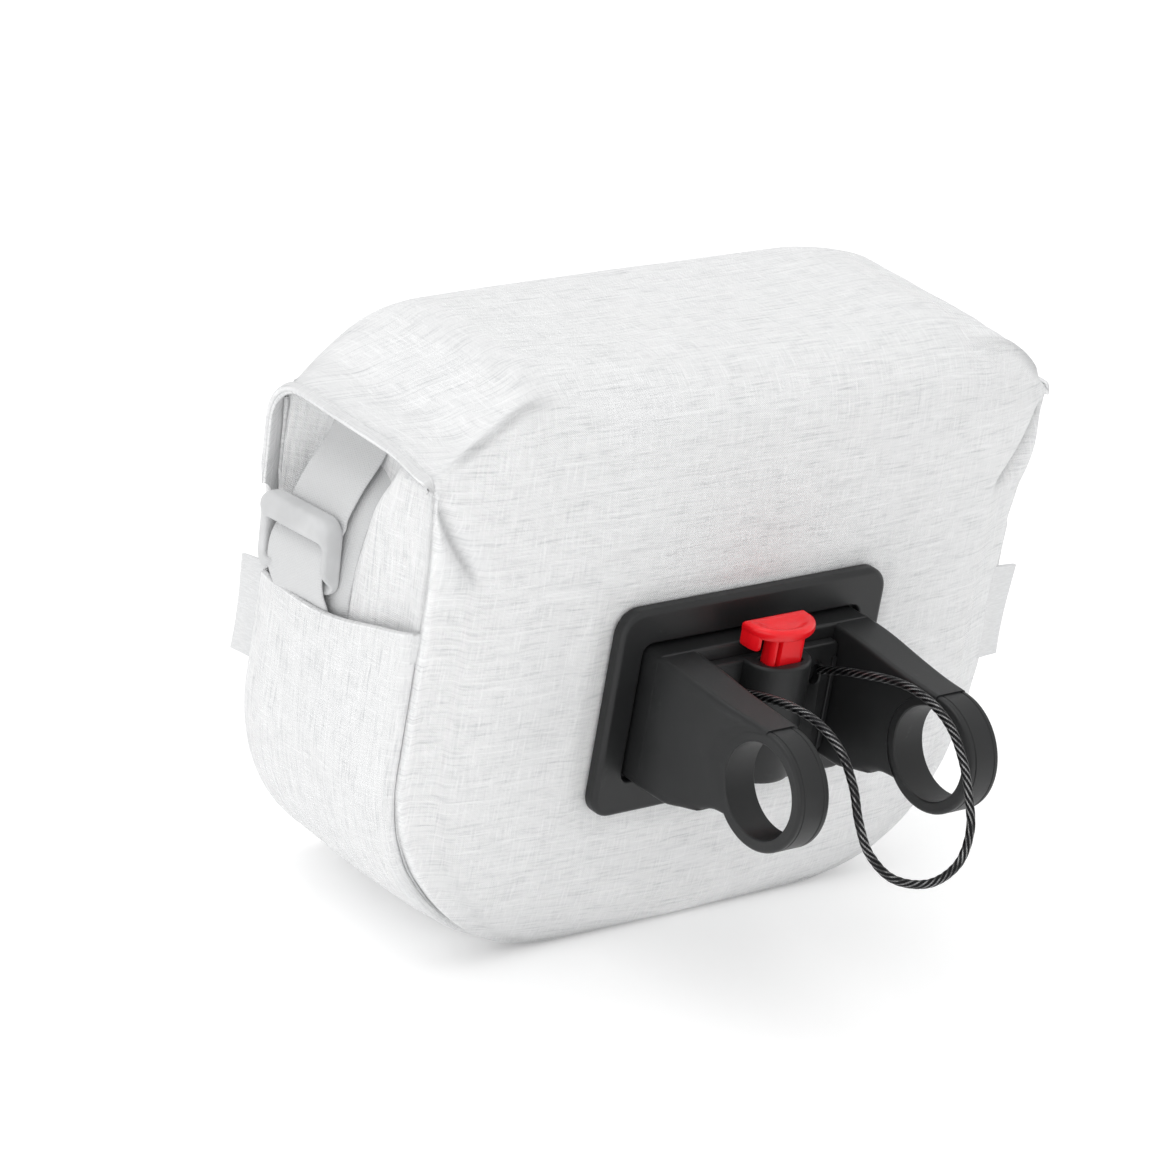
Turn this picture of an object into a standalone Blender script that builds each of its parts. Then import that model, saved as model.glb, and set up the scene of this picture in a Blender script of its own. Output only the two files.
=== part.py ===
"""Bicycle handlebar bag with its quick-release bracket.

Frame: X to the rider's right, Y forward, Z up, origin at the middle of the bag's flat bottom.
"""

from math import ceil, cos, hypot, pi, radians, sin

import bmesh
import bpy
from mathutils import Vector

mm = 0.001

# Fit between pieces
GAP = 0.3 * mm
CLOTH_GAP = 0.5 * mm
CUT_PAST = 1 * mm

# Bag
BAG_WIDTH = 258 * mm
BAG_DEPTH = 84 * mm
BAG_HEIGHT = 206 * mm
CLOTH = 3 * mm
CORNER_RADIUS = 72 * mm
SEAM_LIFT = 1 * mm
BOTTOM_FLAT_SHARE = 0.85
REAR_BOW = 11 * mm
FRONT_BOW = 4 * mm
GUSSET_BULGE = 5 * mm
GUSSET_RECESS = 16 * mm
EAR_FLARE = 3 * mm
REAR_RIM_RISE = 9 * mm

# Lid
LID_END_DROP = 29 * mm
TOP_EDGE_RADIUS = 25 * mm
LID_LIP_BOTTOM = 122 * mm
RIM_BELOW_HEM = 5 * mm
LID_REAR_LEAST = 0.5 * mm

# Side pockets
POCKET_MOUTH_REAR = 122.7 * mm
POCKET_MOUTH_FRONT = 109.4 * mm
POCKET_FOOT_ANGLE = radians(32)

# Straps and buckles
STRAP_WIDTH = 29 * mm
STRAP_THICKNESS = 1.6 * mm
STRAP_Y = 12 * mm
STRAP_TILT = radians(5)
TAIL_END_HEIGHT = 106 * mm
TAIL_TOP_DROP = 14 * mm
TAIL_OFF_CLOTH = 0.9 * mm
BUCKLE_WIDTH = 39.5 * mm
BUCKLE_HEIGHT = 27 * mm
BUCKLE_ABOVE_POCKET = 4.9 * mm
BUCKLE_OUT = 11 * mm
BUCKLE_THICKNESS = 7.6 * mm
BUCKLE_SIDE_RIM = 3.2 * mm
BUCKLE_TOP_RIM = 7.5 * mm
BUCKLE_BOTTOM_RIM = 5 * mm
BUCKLE_ROUNDING = 5 * mm
BUCKLE_WINDOW_CORNER = 0.8 * mm
BUCKLE_EDGE = 1.6 * mm

# Sewn labels
LABEL_LENGTH = 28 * mm
LABEL_OUT = 11 * mm
LABEL_THICKNESS = 1.6 * mm
LABEL_LEFT_BOTTOM = 80.6 * mm
LABEL_RIGHT_BOTTOM = 77 * mm

# Plate on the back of the bag
PLATE_WIDTH = 115 * mm
PLATE_HEIGHT = 74.5 * mm
PLATE_THICKNESS = 5 * mm
PLATE_CORNER = 8.5 * mm
PLATE_BEVEL = 1.5 * mm
PLATE_CENTRE_Z = 89 * mm
PLATE_WINDOW_WIDTH = 94.4 * mm
PLATE_WINDOW_HEIGHT = 50 * mm
PLATE_WINDOW_CORNER = 3.5 * mm
PLATE_WINDOW_DEPTH = 3 * mm
WINDOW_CLEARANCE = 1.2 * mm

# Bracket
BRACKET_STAND_OFF = 7 * mm
BRACKET_CORNER = 2.5 * mm
ARM_INSIDE = 30 * mm
ARM_WALL = 2.5 * mm
ARM_OVER_BAR = 21 * mm
ARM_UNDER_BAR = 15 * mm
ARM_FROM_BLOCK_EDGE = 0.4 * mm
BLOCK_WALL = 3 * mm

# Bar clamp
BAR_OFFSET = 59 * mm
BAR_HEIGHT = 89 * mm
BAR_BORE_RADIUS = 16 * mm
COLLAR_RADIUS = 20.3 * mm
COLLAR_WIDTH = 13 * mm
COLLAR_INSIDE = 30.5 * mm
COLLAR_EDGE = 1.2 * mm

# Latch and button
PANEL_THICKNESS = 3.5 * mm
PANEL_HALF_WIDTH = 29.6 * mm
PANEL_TOP = 108 * mm
PANEL_BOTTOM = 63 * mm
TOWER_RADIUS = 12.7 * mm
TOWER_TOP = 108.6 * mm
TOWER_BOTTOM = 66 * mm
TOWER_FOOT = 3 * mm
TOWER_EDGE = 1 * mm
SLOT_X = 21.5 * mm
SLOT_Z = 97 * mm
SLOT_WIDTH = 4 * mm
SLOT_LENGTH = 7 * mm
SLOT_CORNER = 1.9 * mm
BUTTON_TRAVEL = 4 * mm
BUTTON_WIDTH = 26 * mm
BUTTON_DEPTH = 13 * mm
BUTTON_CAP_HEIGHT = 7 * mm
BUTTON_DISH = 0.8 * mm
BUTTON_CLEARANCE = 0.8 * mm
BUTTON_LOWER_EDGE = 1.5 * mm
BUTTON_UPPER_EDGE = 1.2 * mm
STEM_WIDTH = 16 * mm
STEM_DEPTH = 8 * mm
STEM_IN_SOCKET = 8 * mm
STEM_CLEARANCE = 0.4 * mm
STEM_CORNER = 2.6 * mm
STEM_FROM_PANEL = 1.5 * mm
SOCKET_CORNER = 3 * mm
SOCKET_ROOM = 2 * mm
LOBE_WIDTH = 4.1 * mm
LOBE_DEPTH = 8 * mm
LOBE_REACH = 0.4 * mm
LOBE_SET_IN = 0.4 * mm
LOBE_SET_BACK = 1 * mm
LOBE_CORNER = 1.2 * mm

# Stay cable
CABLE_RADIUS = 1.5 * mm
CABLE_STEP = 5 * mm
CABLE_ROUTE = [
    # points of the right half, from the panel to the lowest point of the loop
    (22 * mm, -70.0 * mm, 99 * mm),
    (22.6 * mm, -84 * mm, 104.5 * mm),
    (24 * mm, -104 * mm, 110 * mm),
    (24 * mm, -119 * mm, 110.6 * mm),
    (24 * mm, -131 * mm, 106.5 * mm),
    (24 * mm, -139.5 * mm, 98 * mm),
    (24 * mm, -145 * mm, 88 * mm),
    (22 * mm, -150.5 * mm, 78.5 * mm),
    (14 * mm, -155.5 * mm, 70.5 * mm),
    (0 * mm, -158 * mm, 67.5 * mm),
]

# Lid sections, from the middle to one end
LID_STATIONS = [
    # along the half width, drop of the end slope, top edge radius
    {"along": 0.00, "drop": 0.00, "edge": 1.00},
    {"along": 0.25, "drop": 0.00, "edge": 1.00},
    {"along": 0.48, "drop": 0.00, "edge": 1.00},
    {"along": 0.64, "drop": 0.01, "edge": 0.96},
    {"along": 0.71, "drop": 0.03, "edge": 0.76},
    {"along": 0.76, "drop": 0.07, "edge": 0.52},
    {"along": 0.80, "drop": 0.16, "edge": 0.36},
    {"along": 0.86, "drop": 0.38, "edge": 0.24},
    {"along": 0.93, "drop": 0.69, "edge": 0.16},
    {"along": 1.00, "drop": 1.00, "edge": 0.12},
]

# Side of the bag above the round corner, from the corner up to the rim
SIDE_ROWS = [
    # height share, recess of the gusset, flare of the seams
    {"rise": 0.12, "recess": 0.02, "flare": 0.0},
    {"rise": 0.24, "recess": 0.12, "flare": 0.0},
    {"rise": 0.36, "recess": 0.36, "flare": 0.1},
    {"rise": 0.48, "recess": 0.56, "flare": 0.3},
    {"rise": 0.60, "recess": 0.72, "flare": 0.6},
    {"rise": 0.74, "recess": 0.86, "flare": 0.9},
    {"rise": 0.88, "recess": 0.96, "flare": 1.0},
    {"rise": 1.00, "recess": 1.00, "flare": 1.0},
]

# Strap from the lid's end down behind the buckle
STRAP_UNDER_LID = [
    # share of the lid's half width where the webbing lies under the lid's end
    {"along": 0.840},
    {"along": 0.885},
]
STRAP_RUN = [
    # share of the way down from the lid to the buckle, and of the way out
    {"down": 0.43, "out": 0.22},
    {"down": 0.77, "out": 0.72},
]
STRAP_IN_BUCKLE = [
    # height above the buckle's middle over its height, distance in front of its back over its thickness
    {"up": 0.50, "front": -0.20},
    {"up": 0.22, "front": -0.19},
    {"up": 0.06, "front": 0.24},
    {"up": -0.11, "front": 0.24},
    {"up": -0.29, "front": -0.18},
    {"up": -0.48, "front": -0.21},
]

# Arms from the cheeks of the block to the collars
ARM_ROWS = [
    # share of the way from the block to the bar, and how far each face has come from block to collar
    {"reach": 0.00, "outer": 0.00, "low": 0.00, "top": 0.0},
    {"reach": 0.21, "outer": 0.00, "low": 0.00, "top": 0.0},
    {"reach": 0.29, "outer": 0.16, "low": 0.17, "top": 1.0},
    {"reach": 0.60, "outer": 0.56, "low": 0.67, "top": 1.0},
    {"reach": 0.83, "outer": 1.00, "low": 1.00, "top": 1.0},
]

PANEL_COLUMNS = 12
GUSSET_COLUMNS = 8
CORNER_STEPS = 6

RIM_HEIGHT = BAG_HEIGHT - LID_END_DROP - RIM_BELOW_HEM
LID_WIDTH = BAG_WIDTH + 2 * EAR_FLARE
HALF_WIDTH = BAG_WIDTH / 2
HALF_DEPTH = BAG_DEPTH / 2
BOTTOM_HALF = HALF_WIDTH - CORNER_RADIUS
CORNER_TOP = SEAM_LIFT + CORNER_RADIUS
PLATE_FACE_Y = -(HALF_DEPTH + REAR_BOW + GAP + PLATE_THICKNESS)
BAR_Y = PLATE_FACE_Y - BAR_OFFSET


def clear_scene():
    for item in list(bpy.data.objects):
        bpy.data.objects.remove(item, do_unlink=True)


def material(name, colour, roughness, metallic=0.0):
    made = bpy.data.materials.new(name)
    made.use_nodes = True
    shader = made.node_tree.nodes["Principled BSDF"]
    shader.inputs["Base Color"].default_value = (*colour, 1.0)
    shader.inputs["Roughness"].default_value = roughness
    shader.inputs["Metallic"].default_value = metallic
    return made


def add_object(name, mesh_data, look):
    made = bpy.data.objects.new(name, mesh_data)
    made.data.materials.append(look)
    bpy.context.collection.objects.link(made)
    return made


def mesh_object(name, points, faces, look, outward=True, sharp=radians(35)):
    """An object from points and faces, with double points joined."""
    shape = bmesh.new()
    corners = [shape.verts.new(point) for point in points]
    for face in faces:
        shape.faces.new([corners[i] for i in face])
    bmesh.ops.remove_doubles(shape, verts=shape.verts, dist=1e-6)
    if outward:
        bmesh.ops.recalc_face_normals(shape, faces=shape.faces)
    data = bpy.data.meshes.new(name)
    shape.to_mesh(data)
    shape.free()
    data.shade_smooth()
    data.set_sharp_from_angle(angle=sharp)
    return add_object(name, data, look)


def grid_faces(rows, columns, start=0):
    """Quads of a grid of points listed row by row."""
    faces = []
    for row in range(rows - 1):
        for column in range(columns - 1):
            corner = start + row * columns + column
            faces.append((corner, corner + 1, corner + columns + 1, corner + columns))
    return faces


def grids_object(name, grids, look, outward=True):
    """One open skin from several grids that share their edges."""
    points = []
    faces = []
    for grid in grids:
        faces += grid_faces(len(grid), len(grid[0]), len(points))
        points += [point for row in grid for point in row]
    return mesh_object(name, points, faces, look, outward)


def loft(name, loops, look, sharp=radians(35)):
    """A closed solid through loops of equally many points, capped at both ends."""
    count = len(loops[0])
    points = [point for loop in loops for point in loop]
    faces = [tuple(reversed(range(count)))]
    for ring in range(len(loops) - 1):
        for i in range(count):
            here = ring * count + i
            beside = ring * count + (i + 1) % count
            faces.append((here, beside, beside + count, here + count))
    last = (len(loops) - 1) * count
    faces.append(tuple(range(last, last + count)))
    return mesh_object(name, points, faces, look, sharp=sharp)


def thicken(item, thickness):
    wall = item.modifiers.new("wall", "SOLIDIFY")
    wall.thickness = thickness
    wall.offset = -1.0
    wall.use_even_offset = True


def boolean(item, other, operation):
    """Joins or cuts by another object, which is hidden from the model."""
    step = item.modifiers.new(operation.lower(), "BOOLEAN")
    step.operation = operation
    step.object = other
    other.hide_render = True
    other.display_type = "WIRE"


def rounded_rectangle(half_width, half_height, radius, steps=4):
    """Corners of a rounded rectangle as pairs, anticlockwise."""
    pairs = []
    for quarter, (side, end) in enumerate([(1, 1), (-1, 1), (-1, -1), (1, -1)]):
        for step in range(steps + 1):
            angle = (quarter + step / steps) * pi / 2
            across = side * (half_width - radius) + radius * cos(angle)
            up = end * (half_height - radius) + radius * sin(angle)
            pairs.append((across, up))
    return pairs


def box(name, low, high, look, radius=None, steps=2):
    """A block whose edges along Z are rounded when a radius is given."""
    middle_x = (low[0] + high[0]) / 2
    middle_y = (low[1] + high[1]) / 2
    half_x = (high[0] - low[0]) / 2
    half_y = (high[1] - low[1]) / 2
    if radius:
        outline = rounded_rectangle(half_x, half_y, radius, steps)
    else:
        outline = [(half_x, half_y), (-half_x, half_y), (-half_x, -half_y), (half_x, -half_y)]
    loops = []
    for height in (low[2], high[2]):
        loops.append([(middle_x + x, middle_y + y, height) for x, y in outline])
    return loft(name, loops, look)


def between(start, end, share):
    return start + (end - start) * share


def smooth_route(route, spacing):
    """Points along a Catmull-Rom curve through the route."""
    knots = [Vector(point) for point in route]
    knots = [2 * knots[0] - knots[1], *knots, 2 * knots[-1] - knots[-2]]
    points = []
    for i in range(1, len(knots) - 2):
        before, start, end, after = knots[i - 1 : i + 3]
        steps = ceil((end - start).length / spacing)
        for step in range(steps):
            t = step / steps
            straight = 2 * start + (end - before) * t
            bend = (2 * before - 5 * start + 4 * end - after) * t**2
            twist = (3 * start - before - 3 * end + after) * t**3
            points.append((straight + bend + twist) / 2)
    points.append(knots[-2])
    return points


# Form of the bag


def side_stations():
    """Seam points of one side from the flat bottom up to the rim, with the outward direction."""
    stations = []
    for step in range(CORNER_STEPS + 1):
        angle = -pi / 2 + pi / 2 * step / CORNER_STEPS
        stations.append({
            "x": BOTTOM_HALF + CORNER_RADIUS * cos(angle),
            "z": CORNER_TOP + CORNER_RADIUS * sin(angle),
            "normal": (cos(angle), sin(angle)),
            "recess": 0.0,
        })
    for row in SIDE_ROWS:
        stations.append({
            "x": HALF_WIDTH + EAR_FLARE * row["flare"],
            "z": between(CORNER_TOP, RIM_HEIGHT, row["rise"]),
            "normal": (1.0, 0.0),
            "recess": row["recess"],
        })
    return stations


def station_at(height):
    """Seam point on the straight side at a height, read between the rows."""
    stations = side_stations()[CORNER_STEPS:]
    for below, above in zip(stations, stations[1:]):
        if height <= above["z"] or above is stations[-1]:
            share = (height - below["z"]) / (above["z"] - below["z"])
            return {
                "x": between(below["x"], above["x"], share),
                "z": height,
                "normal": (1.0, 0.0),
                "recess": between(below["recess"], above["recess"], share),
            }


def bulge_at(across, normal_z):
    """How far the side bulges out between its seams; under the bag the bulge is flat and shallow."""
    depth = between(GUSSET_BULGE, SEAM_LIFT, max(0.0, -normal_z))
    flat = max(0.0, -normal_z) * BOTTOM_FLAT_SHARE
    reach = max(0.0, abs(across) - flat) / (1 - flat)
    return depth * (1 - reach**3)


def pocket_seat(station):
    """Room that the side leaves for the pocket's cloth, none under the bag."""
    turned = max(0.0, -station["normal"][1])
    return (CLOTH + CLOTH_GAP) if turned < sin(POCKET_FOOT_ANGLE + radians(20)) else 0.0


def gusset_point(station, across, side, set_back):
    """A point of the side's surface; across runs from -1 at the rear seam to 1 at the front."""
    normal_x, normal_z = station["normal"]
    out = bulge_at(across, normal_z) - set_back
    x = station["x"] + out * normal_x
    return Vector((side * x, across * HALF_DEPTH, station["z"] + out * normal_z))


def body_side_point(station, across, side):
    if abs(across) > 0.99:
        return gusset_point(station, across, side, 0.0)
    recess = station["recess"] * GUSSET_RECESS * (1 - across**6)
    return gusset_point(station, across, side, pocket_seat(station) + recess)


def rear_y(x, height):
    """Rear panel, bowed between its seams and flat where the plate lies."""
    level = (height - SEAM_LIFT) / (BAG_HEIGHT - SEAM_LIFT)
    swell = 1 - abs(2 * level - 0.9) ** 5 if level < 0.45 else 1 - 0.35 * ((level - 0.45) / 0.55) ** 4
    across = min(1.0, abs(x) / HALF_WIDTH)
    return -HALF_DEPTH - REAR_BOW * max(0.0, swell) * (1 - across**3.5)


def front_y(x, height):
    level = (height - SEAM_LIFT) / (BAG_HEIGHT - SEAM_LIFT)
    swell = 1 - abs(2 * level - 0.9) ** 5 if level < 0.45 else 1.0
    across = min(1.0, abs(x) / HALF_WIDTH)
    return HALF_DEPTH + FRONT_BOW * max(0.0, swell) * (1 - across**3)


def rear_rim(x):
    """Height of the rear panel's top edge, which falls towards the ears."""
    across = min(1.0, abs(x) / HALF_WIDTH)
    fall = max(0.0, (across - 0.7) / 0.3)
    return RIM_HEIGHT + REAR_RIM_RISE * (1 - fall)


def panel_rows(surface, rim):
    """Rows of a panel from the bottom seam to its rim, between the two sides' seams."""
    rows = []
    for station in side_stations():
        rise = max(0.0, (station["z"] - CORNER_TOP) / (RIM_HEIGHT - CORNER_TOP))
        row = []
        for column in range(PANEL_COLUMNS + 1):
            x = station["x"] * (2 * column / PANEL_COLUMNS - 1)
            extra = (rim(x) - RIM_HEIGHT) * rise**2
            z = station["z"] + extra
            row.append(Vector((x, surface(x, z), z)))
        row[0].y = row[-1].y = -HALF_DEPTH if surface is rear_y else HALF_DEPTH
        row[0].z = row[-1].z = station["z"]
        rows.append(row)
    return rows


def across_columns():
    return [2 * column / GUSSET_COLUMNS - 1 for column in range(GUSSET_COLUMNS + 1)]


def bag_body(look):
    """Rear and front panels with the strip that runs down one side, under the bag and up."""
    rear = panel_rows(rear_y, rear_rim)
    front = panel_rows(front_y, lambda x: RIM_HEIGHT)
    strips = []
    for side in (-1, 1):
        rows = []
        for station in side_stations():
            rows.append([body_side_point(station, across, side) for across in across_columns()])
        strips.append(rows)
    bottom = side_stations()[0]
    floor = []
    for column in range(PANEL_COLUMNS + 1):
        x = bottom["x"] * (2 * column / PANEL_COLUMNS - 1)
        row = []
        for across in across_columns():
            point = body_side_point(bottom, across, 1)
            row.append(Vector((x, point.y, point.z)))
        floor.append(row)
    body = grids_object("bag_body", [rear, front, *strips, floor], look)
    thicken(body, CLOTH)
    return body


def lid_section(station, side):
    """Outer line of the lid across the bag at one station, from the rear edge to the front lip."""
    x = station["along"] * LID_WIDTH / 2
    top = BAG_HEIGHT - LID_END_DROP * station["drop"]
    radius = TOP_EDGE_RADIUS * station["edge"]
    low = rear_rim(x) + CLOTH_GAP
    back = rear_y(x, rear_rim(x))
    lip = front_y(x, RIM_HEIGHT) + CLOTH_GAP + CLOTH
    start = max(low + LID_REAR_LEAST, top - radius)
    line = [(back, low), (back, start)]
    for step in range(1, 6):
        turn = pi / 2 * step / 5
        rise = (top - start) * sin(turn)
        line.append((back + radius * (1 - cos(turn)), start + rise))
    for step in range(1, 6):
        line.append((between(back + radius, lip - radius, step / 6), top))
    for step in range(6):
        turn = pi / 2 * step / 5
        line.append((lip - radius * (1 - sin(turn)), top - radius * (1 - cos(turn))))
    for step in range(1, 4):
        line.append((lip, between(top - radius, LID_LIP_BOTTOM, step / 3)))
    return [Vector((side * x, y, z)) for y, z in line]


def lid(look):
    left = [lid_section(station, -1) for station in reversed(LID_STATIONS)]
    right = [lid_section(station, 1) for station in LID_STATIONS[1:]]
    flap = grids_object("lid", [left + right], look)
    thicken(flap, CLOTH)
    return flap


def pocket_mouth(across):
    return between(POCKET_MOUTH_REAR, POCKET_MOUTH_FRONT, (across + 1) / 2)


def side_pocket(name, side, look):
    """Cloth pocket over the lower part of the side, open along its slanted top edge."""
    corner = [s for s in side_stations()[: CORNER_STEPS + 1] if -s["normal"][1] < sin(POCKET_FOOT_ANGLE)]
    edge = 0.97
    columns = [edge * across for across in across_columns()]
    rows = []
    for station in corner:
        rows.append([gusset_point(station, across, side, 0.0) for across in columns])
    for step in range(1, 6):
        row = []
        for across in columns:
            height = between(CORNER_TOP, pocket_mouth(across), step / 5)
            station = {"x": HALF_WIDTH, "z": height, "normal": (1.0, 0.0)}
            row.append(gusset_point(station, across, side, 0.0))
        rows.append(row)
    if side > 0:
        rows.reverse()
    pocket = grids_object(name, [rows], look, outward=False)
    thicken(pocket, CLOTH)
    return pocket


def ribbon(name, side, path, look):
    """Webbing along a path of distance out from the middle and height, tilted with the buckle."""
    along_width = Vector((0, cos(STRAP_TILT), -sin(STRAP_TILT))) * STRAP_WIDTH / 2
    loops = []
    for i, (x, z) in enumerate(path):
        before = Vector(path[max(0, i - 1)])
        after = Vector(path[min(len(path) - 1, i + 1)])
        ahead = (after - before).normalized()
        out = Vector((-ahead.y, 0, ahead.x)) * STRAP_THICKNESS / 2
        middle = Vector((x, STRAP_Y, z))
        loop = [
            middle + along_width + out,
            middle - along_width + out,
            middle - along_width - out,
            middle + along_width - out,
        ]
        loops.append([(side * point.x, point.y, point.z) for point in loop])
    return loft(name, loops, look)


def buckle_middle():
    """Height of the buckle's middle, a named distance above the pocket's mouth."""
    return pocket_mouth(STRAP_Y / HALF_DEPTH) + BUCKLE_ABOVE_POCKET + BUCKLE_HEIGHT / 2


def buckle_back():
    return HALF_WIDTH + BUCKLE_OUT - BUCKLE_THICKNESS


def lid_underside(along):
    """Height of the lid's inner face on its end slope, read between the lid's stations."""
    for inner, outer in zip(LID_STATIONS, LID_STATIONS[1:]):
        if along <= outer["along"]:
            share = (along - inner["along"]) / (outer["along"] - inner["along"])
            drop = between(inner["drop"], outer["drop"], share)
            slope = LID_END_DROP * (outer["drop"] - inner["drop"])
            run = LID_WIDTH / 2 * (outer["along"] - inner["along"])
            return BAG_HEIGHT - LID_END_DROP * drop - CLOTH * hypot(slope, run) / run


def strap(name, side, look):
    """Webbing sewn under the lid's end, down behind the buckle's top bar and out in its window."""
    lay = STRAP_THICKNESS + STRAP_WIDTH / 2 * sin(STRAP_TILT) + CLOTH_GAP
    path = []
    for row in STRAP_UNDER_LID:
        path.append((row["along"] * LID_WIDTH / 2, lid_underside(row["along"]) - lay))
    start_x, start_z = path[-1]
    in_buckle = []
    for row in STRAP_IN_BUCKLE:
        x = buckle_back() + row["front"] * BUCKLE_THICKNESS
        in_buckle.append((x, buckle_middle() + row["up"] * BUCKLE_HEIGHT))
    end_x, end_z = in_buckle[0]
    for row in STRAP_RUN:
        path.append((between(start_x, end_x, row["out"]), between(start_z, end_z, row["down"])))
    return ribbon(name, side, path + in_buckle, look)


def strap_tail(name, side, look):
    """Second layer of webbing, lying on the side and running down into the pocket."""
    path = []
    lay = TAIL_OFF_CLOTH + STRAP_THICKNESS / 2
    for step in range(9):
        height = between(RIM_HEIGHT - TAIL_TOP_DROP, TAIL_END_HEIGHT, step / 8)
        surface = body_side_point(station_at(height), STRAP_Y / HALF_DEPTH, 1)
        path.append((surface.x + lay, height))
    return ribbon(name, side, path, look)


def buckle(name, side, look):
    """Slide buckle: a thick rounded frame with a window where the webbing shows."""
    outline = rounded_rectangle(BUCKLE_WIDTH / 2, BUCKLE_HEIGHT / 2, BUCKLE_ROUNDING)
    inner = rounded_rectangle(BUCKLE_WIDTH / 2 - BUCKLE_EDGE, BUCKLE_HEIGHT / 2 - BUCKLE_EDGE,
                              BUCKLE_ROUNDING - BUCKLE_EDGE)
    back = buckle_back()
    face = back + BUCKLE_THICKNESS
    turn_cos, turn_sin = cos(STRAP_TILT), sin(STRAP_TILT)

    def place(pairs, x):
        points = []
        for across, up in pairs:
            y = STRAP_Y + across * turn_cos + up * turn_sin
            z = buckle_middle() + up * turn_cos - across * turn_sin
            points.append((side * x, y, z))
        return points

    loops = [
        place(outline, back),
        place(outline, face - BUCKLE_EDGE),
        place(inner, face),
    ]
    frame = loft(name, loops, look)
    window_width = BUCKLE_WIDTH / 2 - BUCKLE_SIDE_RIM
    window_half = (BUCKLE_HEIGHT - BUCKLE_TOP_RIM - BUCKLE_BOTTOM_RIM) / 2
    window_up = (BUCKLE_BOTTOM_RIM - BUCKLE_TOP_RIM) / 2
    window = [
        (across, up + window_up)
        for across, up in rounded_rectangle(window_width, window_half, BUCKLE_WINDOW_CORNER)
    ]
    cutter = loft(
        name + "_window", [place(window, back - BUCKLE_EDGE), place(window, face + BUCKLE_EDGE)], look
    )
    boolean(frame, cutter, "DIFFERENCE")
    return frame


# Plate and bracket


def upright_loop(half_width, half_height, radius, y):
    """A rounded rectangle standing in the plane of the plate."""
    pairs = rounded_rectangle(half_width, half_height, radius)
    return [(x, y, PLATE_CENTRE_Z + z) for x, z in pairs]


def mount_plate(look):
    half_width, half_height = PLATE_WIDTH / 2, PLATE_HEIGHT / 2
    window = (PLATE_WINDOW_WIDTH / 2, PLATE_WINDOW_HEIGHT / 2, PLATE_WINDOW_CORNER)
    loops = [
        upright_loop(half_width, half_height, PLATE_CORNER, PLATE_FACE_Y + PLATE_THICKNESS),
        upright_loop(half_width, half_height, PLATE_CORNER, PLATE_FACE_Y + PLATE_BEVEL),
        upright_loop(half_width - PLATE_BEVEL, half_height - PLATE_BEVEL, PLATE_CORNER - PLATE_BEVEL,
                     PLATE_FACE_Y),
        upright_loop(*window, PLATE_FACE_Y),
        upright_loop(*window, PLATE_FACE_Y + PLATE_WINDOW_DEPTH),
    ]
    return loft("mount_plate", loops, look)


def arm_loop(row, side, inset=0.0):
    """Upright section through an arm with its outer top edge cut, or through the hollow below it."""
    block_half_width = PLATE_WINDOW_WIDTH / 2 - WINDOW_CLEARANCE
    block_half_height = PLATE_WINDOW_HEIGHT / 2 - WINDOW_CLEARANCE - ARM_FROM_BLOCK_EDGE
    inner = ARM_INSIDE + inset
    outer = between(block_half_width, COLLAR_INSIDE + COLLAR_WIDTH, row["outer"]) - inset
    low = between(PLATE_CENTRE_Z - block_half_height, BAR_HEIGHT - ARM_UNDER_BAR, row["low"])
    high = between(PLATE_CENTRE_Z + block_half_height, BAR_HEIGHT + ARM_OVER_BAR, row["top"]) - inset
    low -= 2 * inset
    y = between(PLATE_FACE_Y - BRACKET_STAND_OFF, BAR_Y, row["reach"])
    cut = (BRACKET_CORNER - inset / 2) * 0.6
    outline = [
        (inner, low), (outer, low), (outer, high - cut), (outer - cut, high), (inner, high),
    ]
    return [(side * x, y, z) for x, z in outline]


def bracket(look):
    """Base block seated in the plate's window, with an arm at each side that ends at a collar."""
    half_width = PLATE_WINDOW_WIDTH / 2 - WINDOW_CLEARANCE
    half_height = PLATE_WINDOW_HEIGHT / 2 - WINDOW_CLEARANCE
    nose_y = PLATE_FACE_Y + PLATE_WINDOW_DEPTH - GAP
    block = loft(
        "bracket",
        [
            upright_loop(half_width, half_height, BRACKET_CORNER, nose_y),
            upright_loop(half_width, half_height, BRACKET_CORNER, PLATE_FACE_Y - BRACKET_STAND_OFF),
        ],
        look,
    )
    hollow_low = PLATE_CENTRE_Z - PLATE_WINDOW_HEIGHT
    hollow_high = PLATE_CENTRE_Z + half_height - BLOCK_WALL
    block_hollow = box(
        "block_hollow",
        (BLOCK_WALL - half_width, PLATE_FACE_Y - BRACKET_STAND_OFF + BLOCK_WALL, hollow_low),
        (half_width - BLOCK_WALL, nose_y - BLOCK_WALL, hollow_high),
        look,
    )
    boolean(block, block_hollow, "DIFFERENCE")
    for side in (-1, 1):
        arm = loft(f"arm_{side}", [arm_loop(row, side) for row in ARM_ROWS], look)
        ends = ARM_WALL / (BAR_OFFSET - BRACKET_STAND_OFF)
        hollow_rows = [
            {**row, "reach": row["reach"] + shift} for row, shift in zip(ARM_ROWS, (ends, 0, 0, 0, -ends))
        ]
        hollow = loft(f"arm_hollow_{side}", [arm_loop(row, side, ARM_WALL) for row in hollow_rows], look)
        boolean(arm, hollow, "DIFFERENCE")
        boolean(block, arm, "UNION")
    reach = ARM_INSIDE + 2 * COLLAR_WIDTH
    loops = [bar_circle(x, COLLAR_RADIUS + GAP) for x in (-reach, reach)]
    boolean(block, loft("bar_cut", loops, look), "DIFFERENCE")
    return block


def bar_circle(x, radius, steps=48):
    """Points round the bar's axis."""
    loop = []
    for step in range(steps):
        angle = 2 * pi * step / steps
        loop.append((x, BAR_Y + radius * cos(angle), BAR_HEIGHT + radius * sin(angle)))
    return loop


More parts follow.
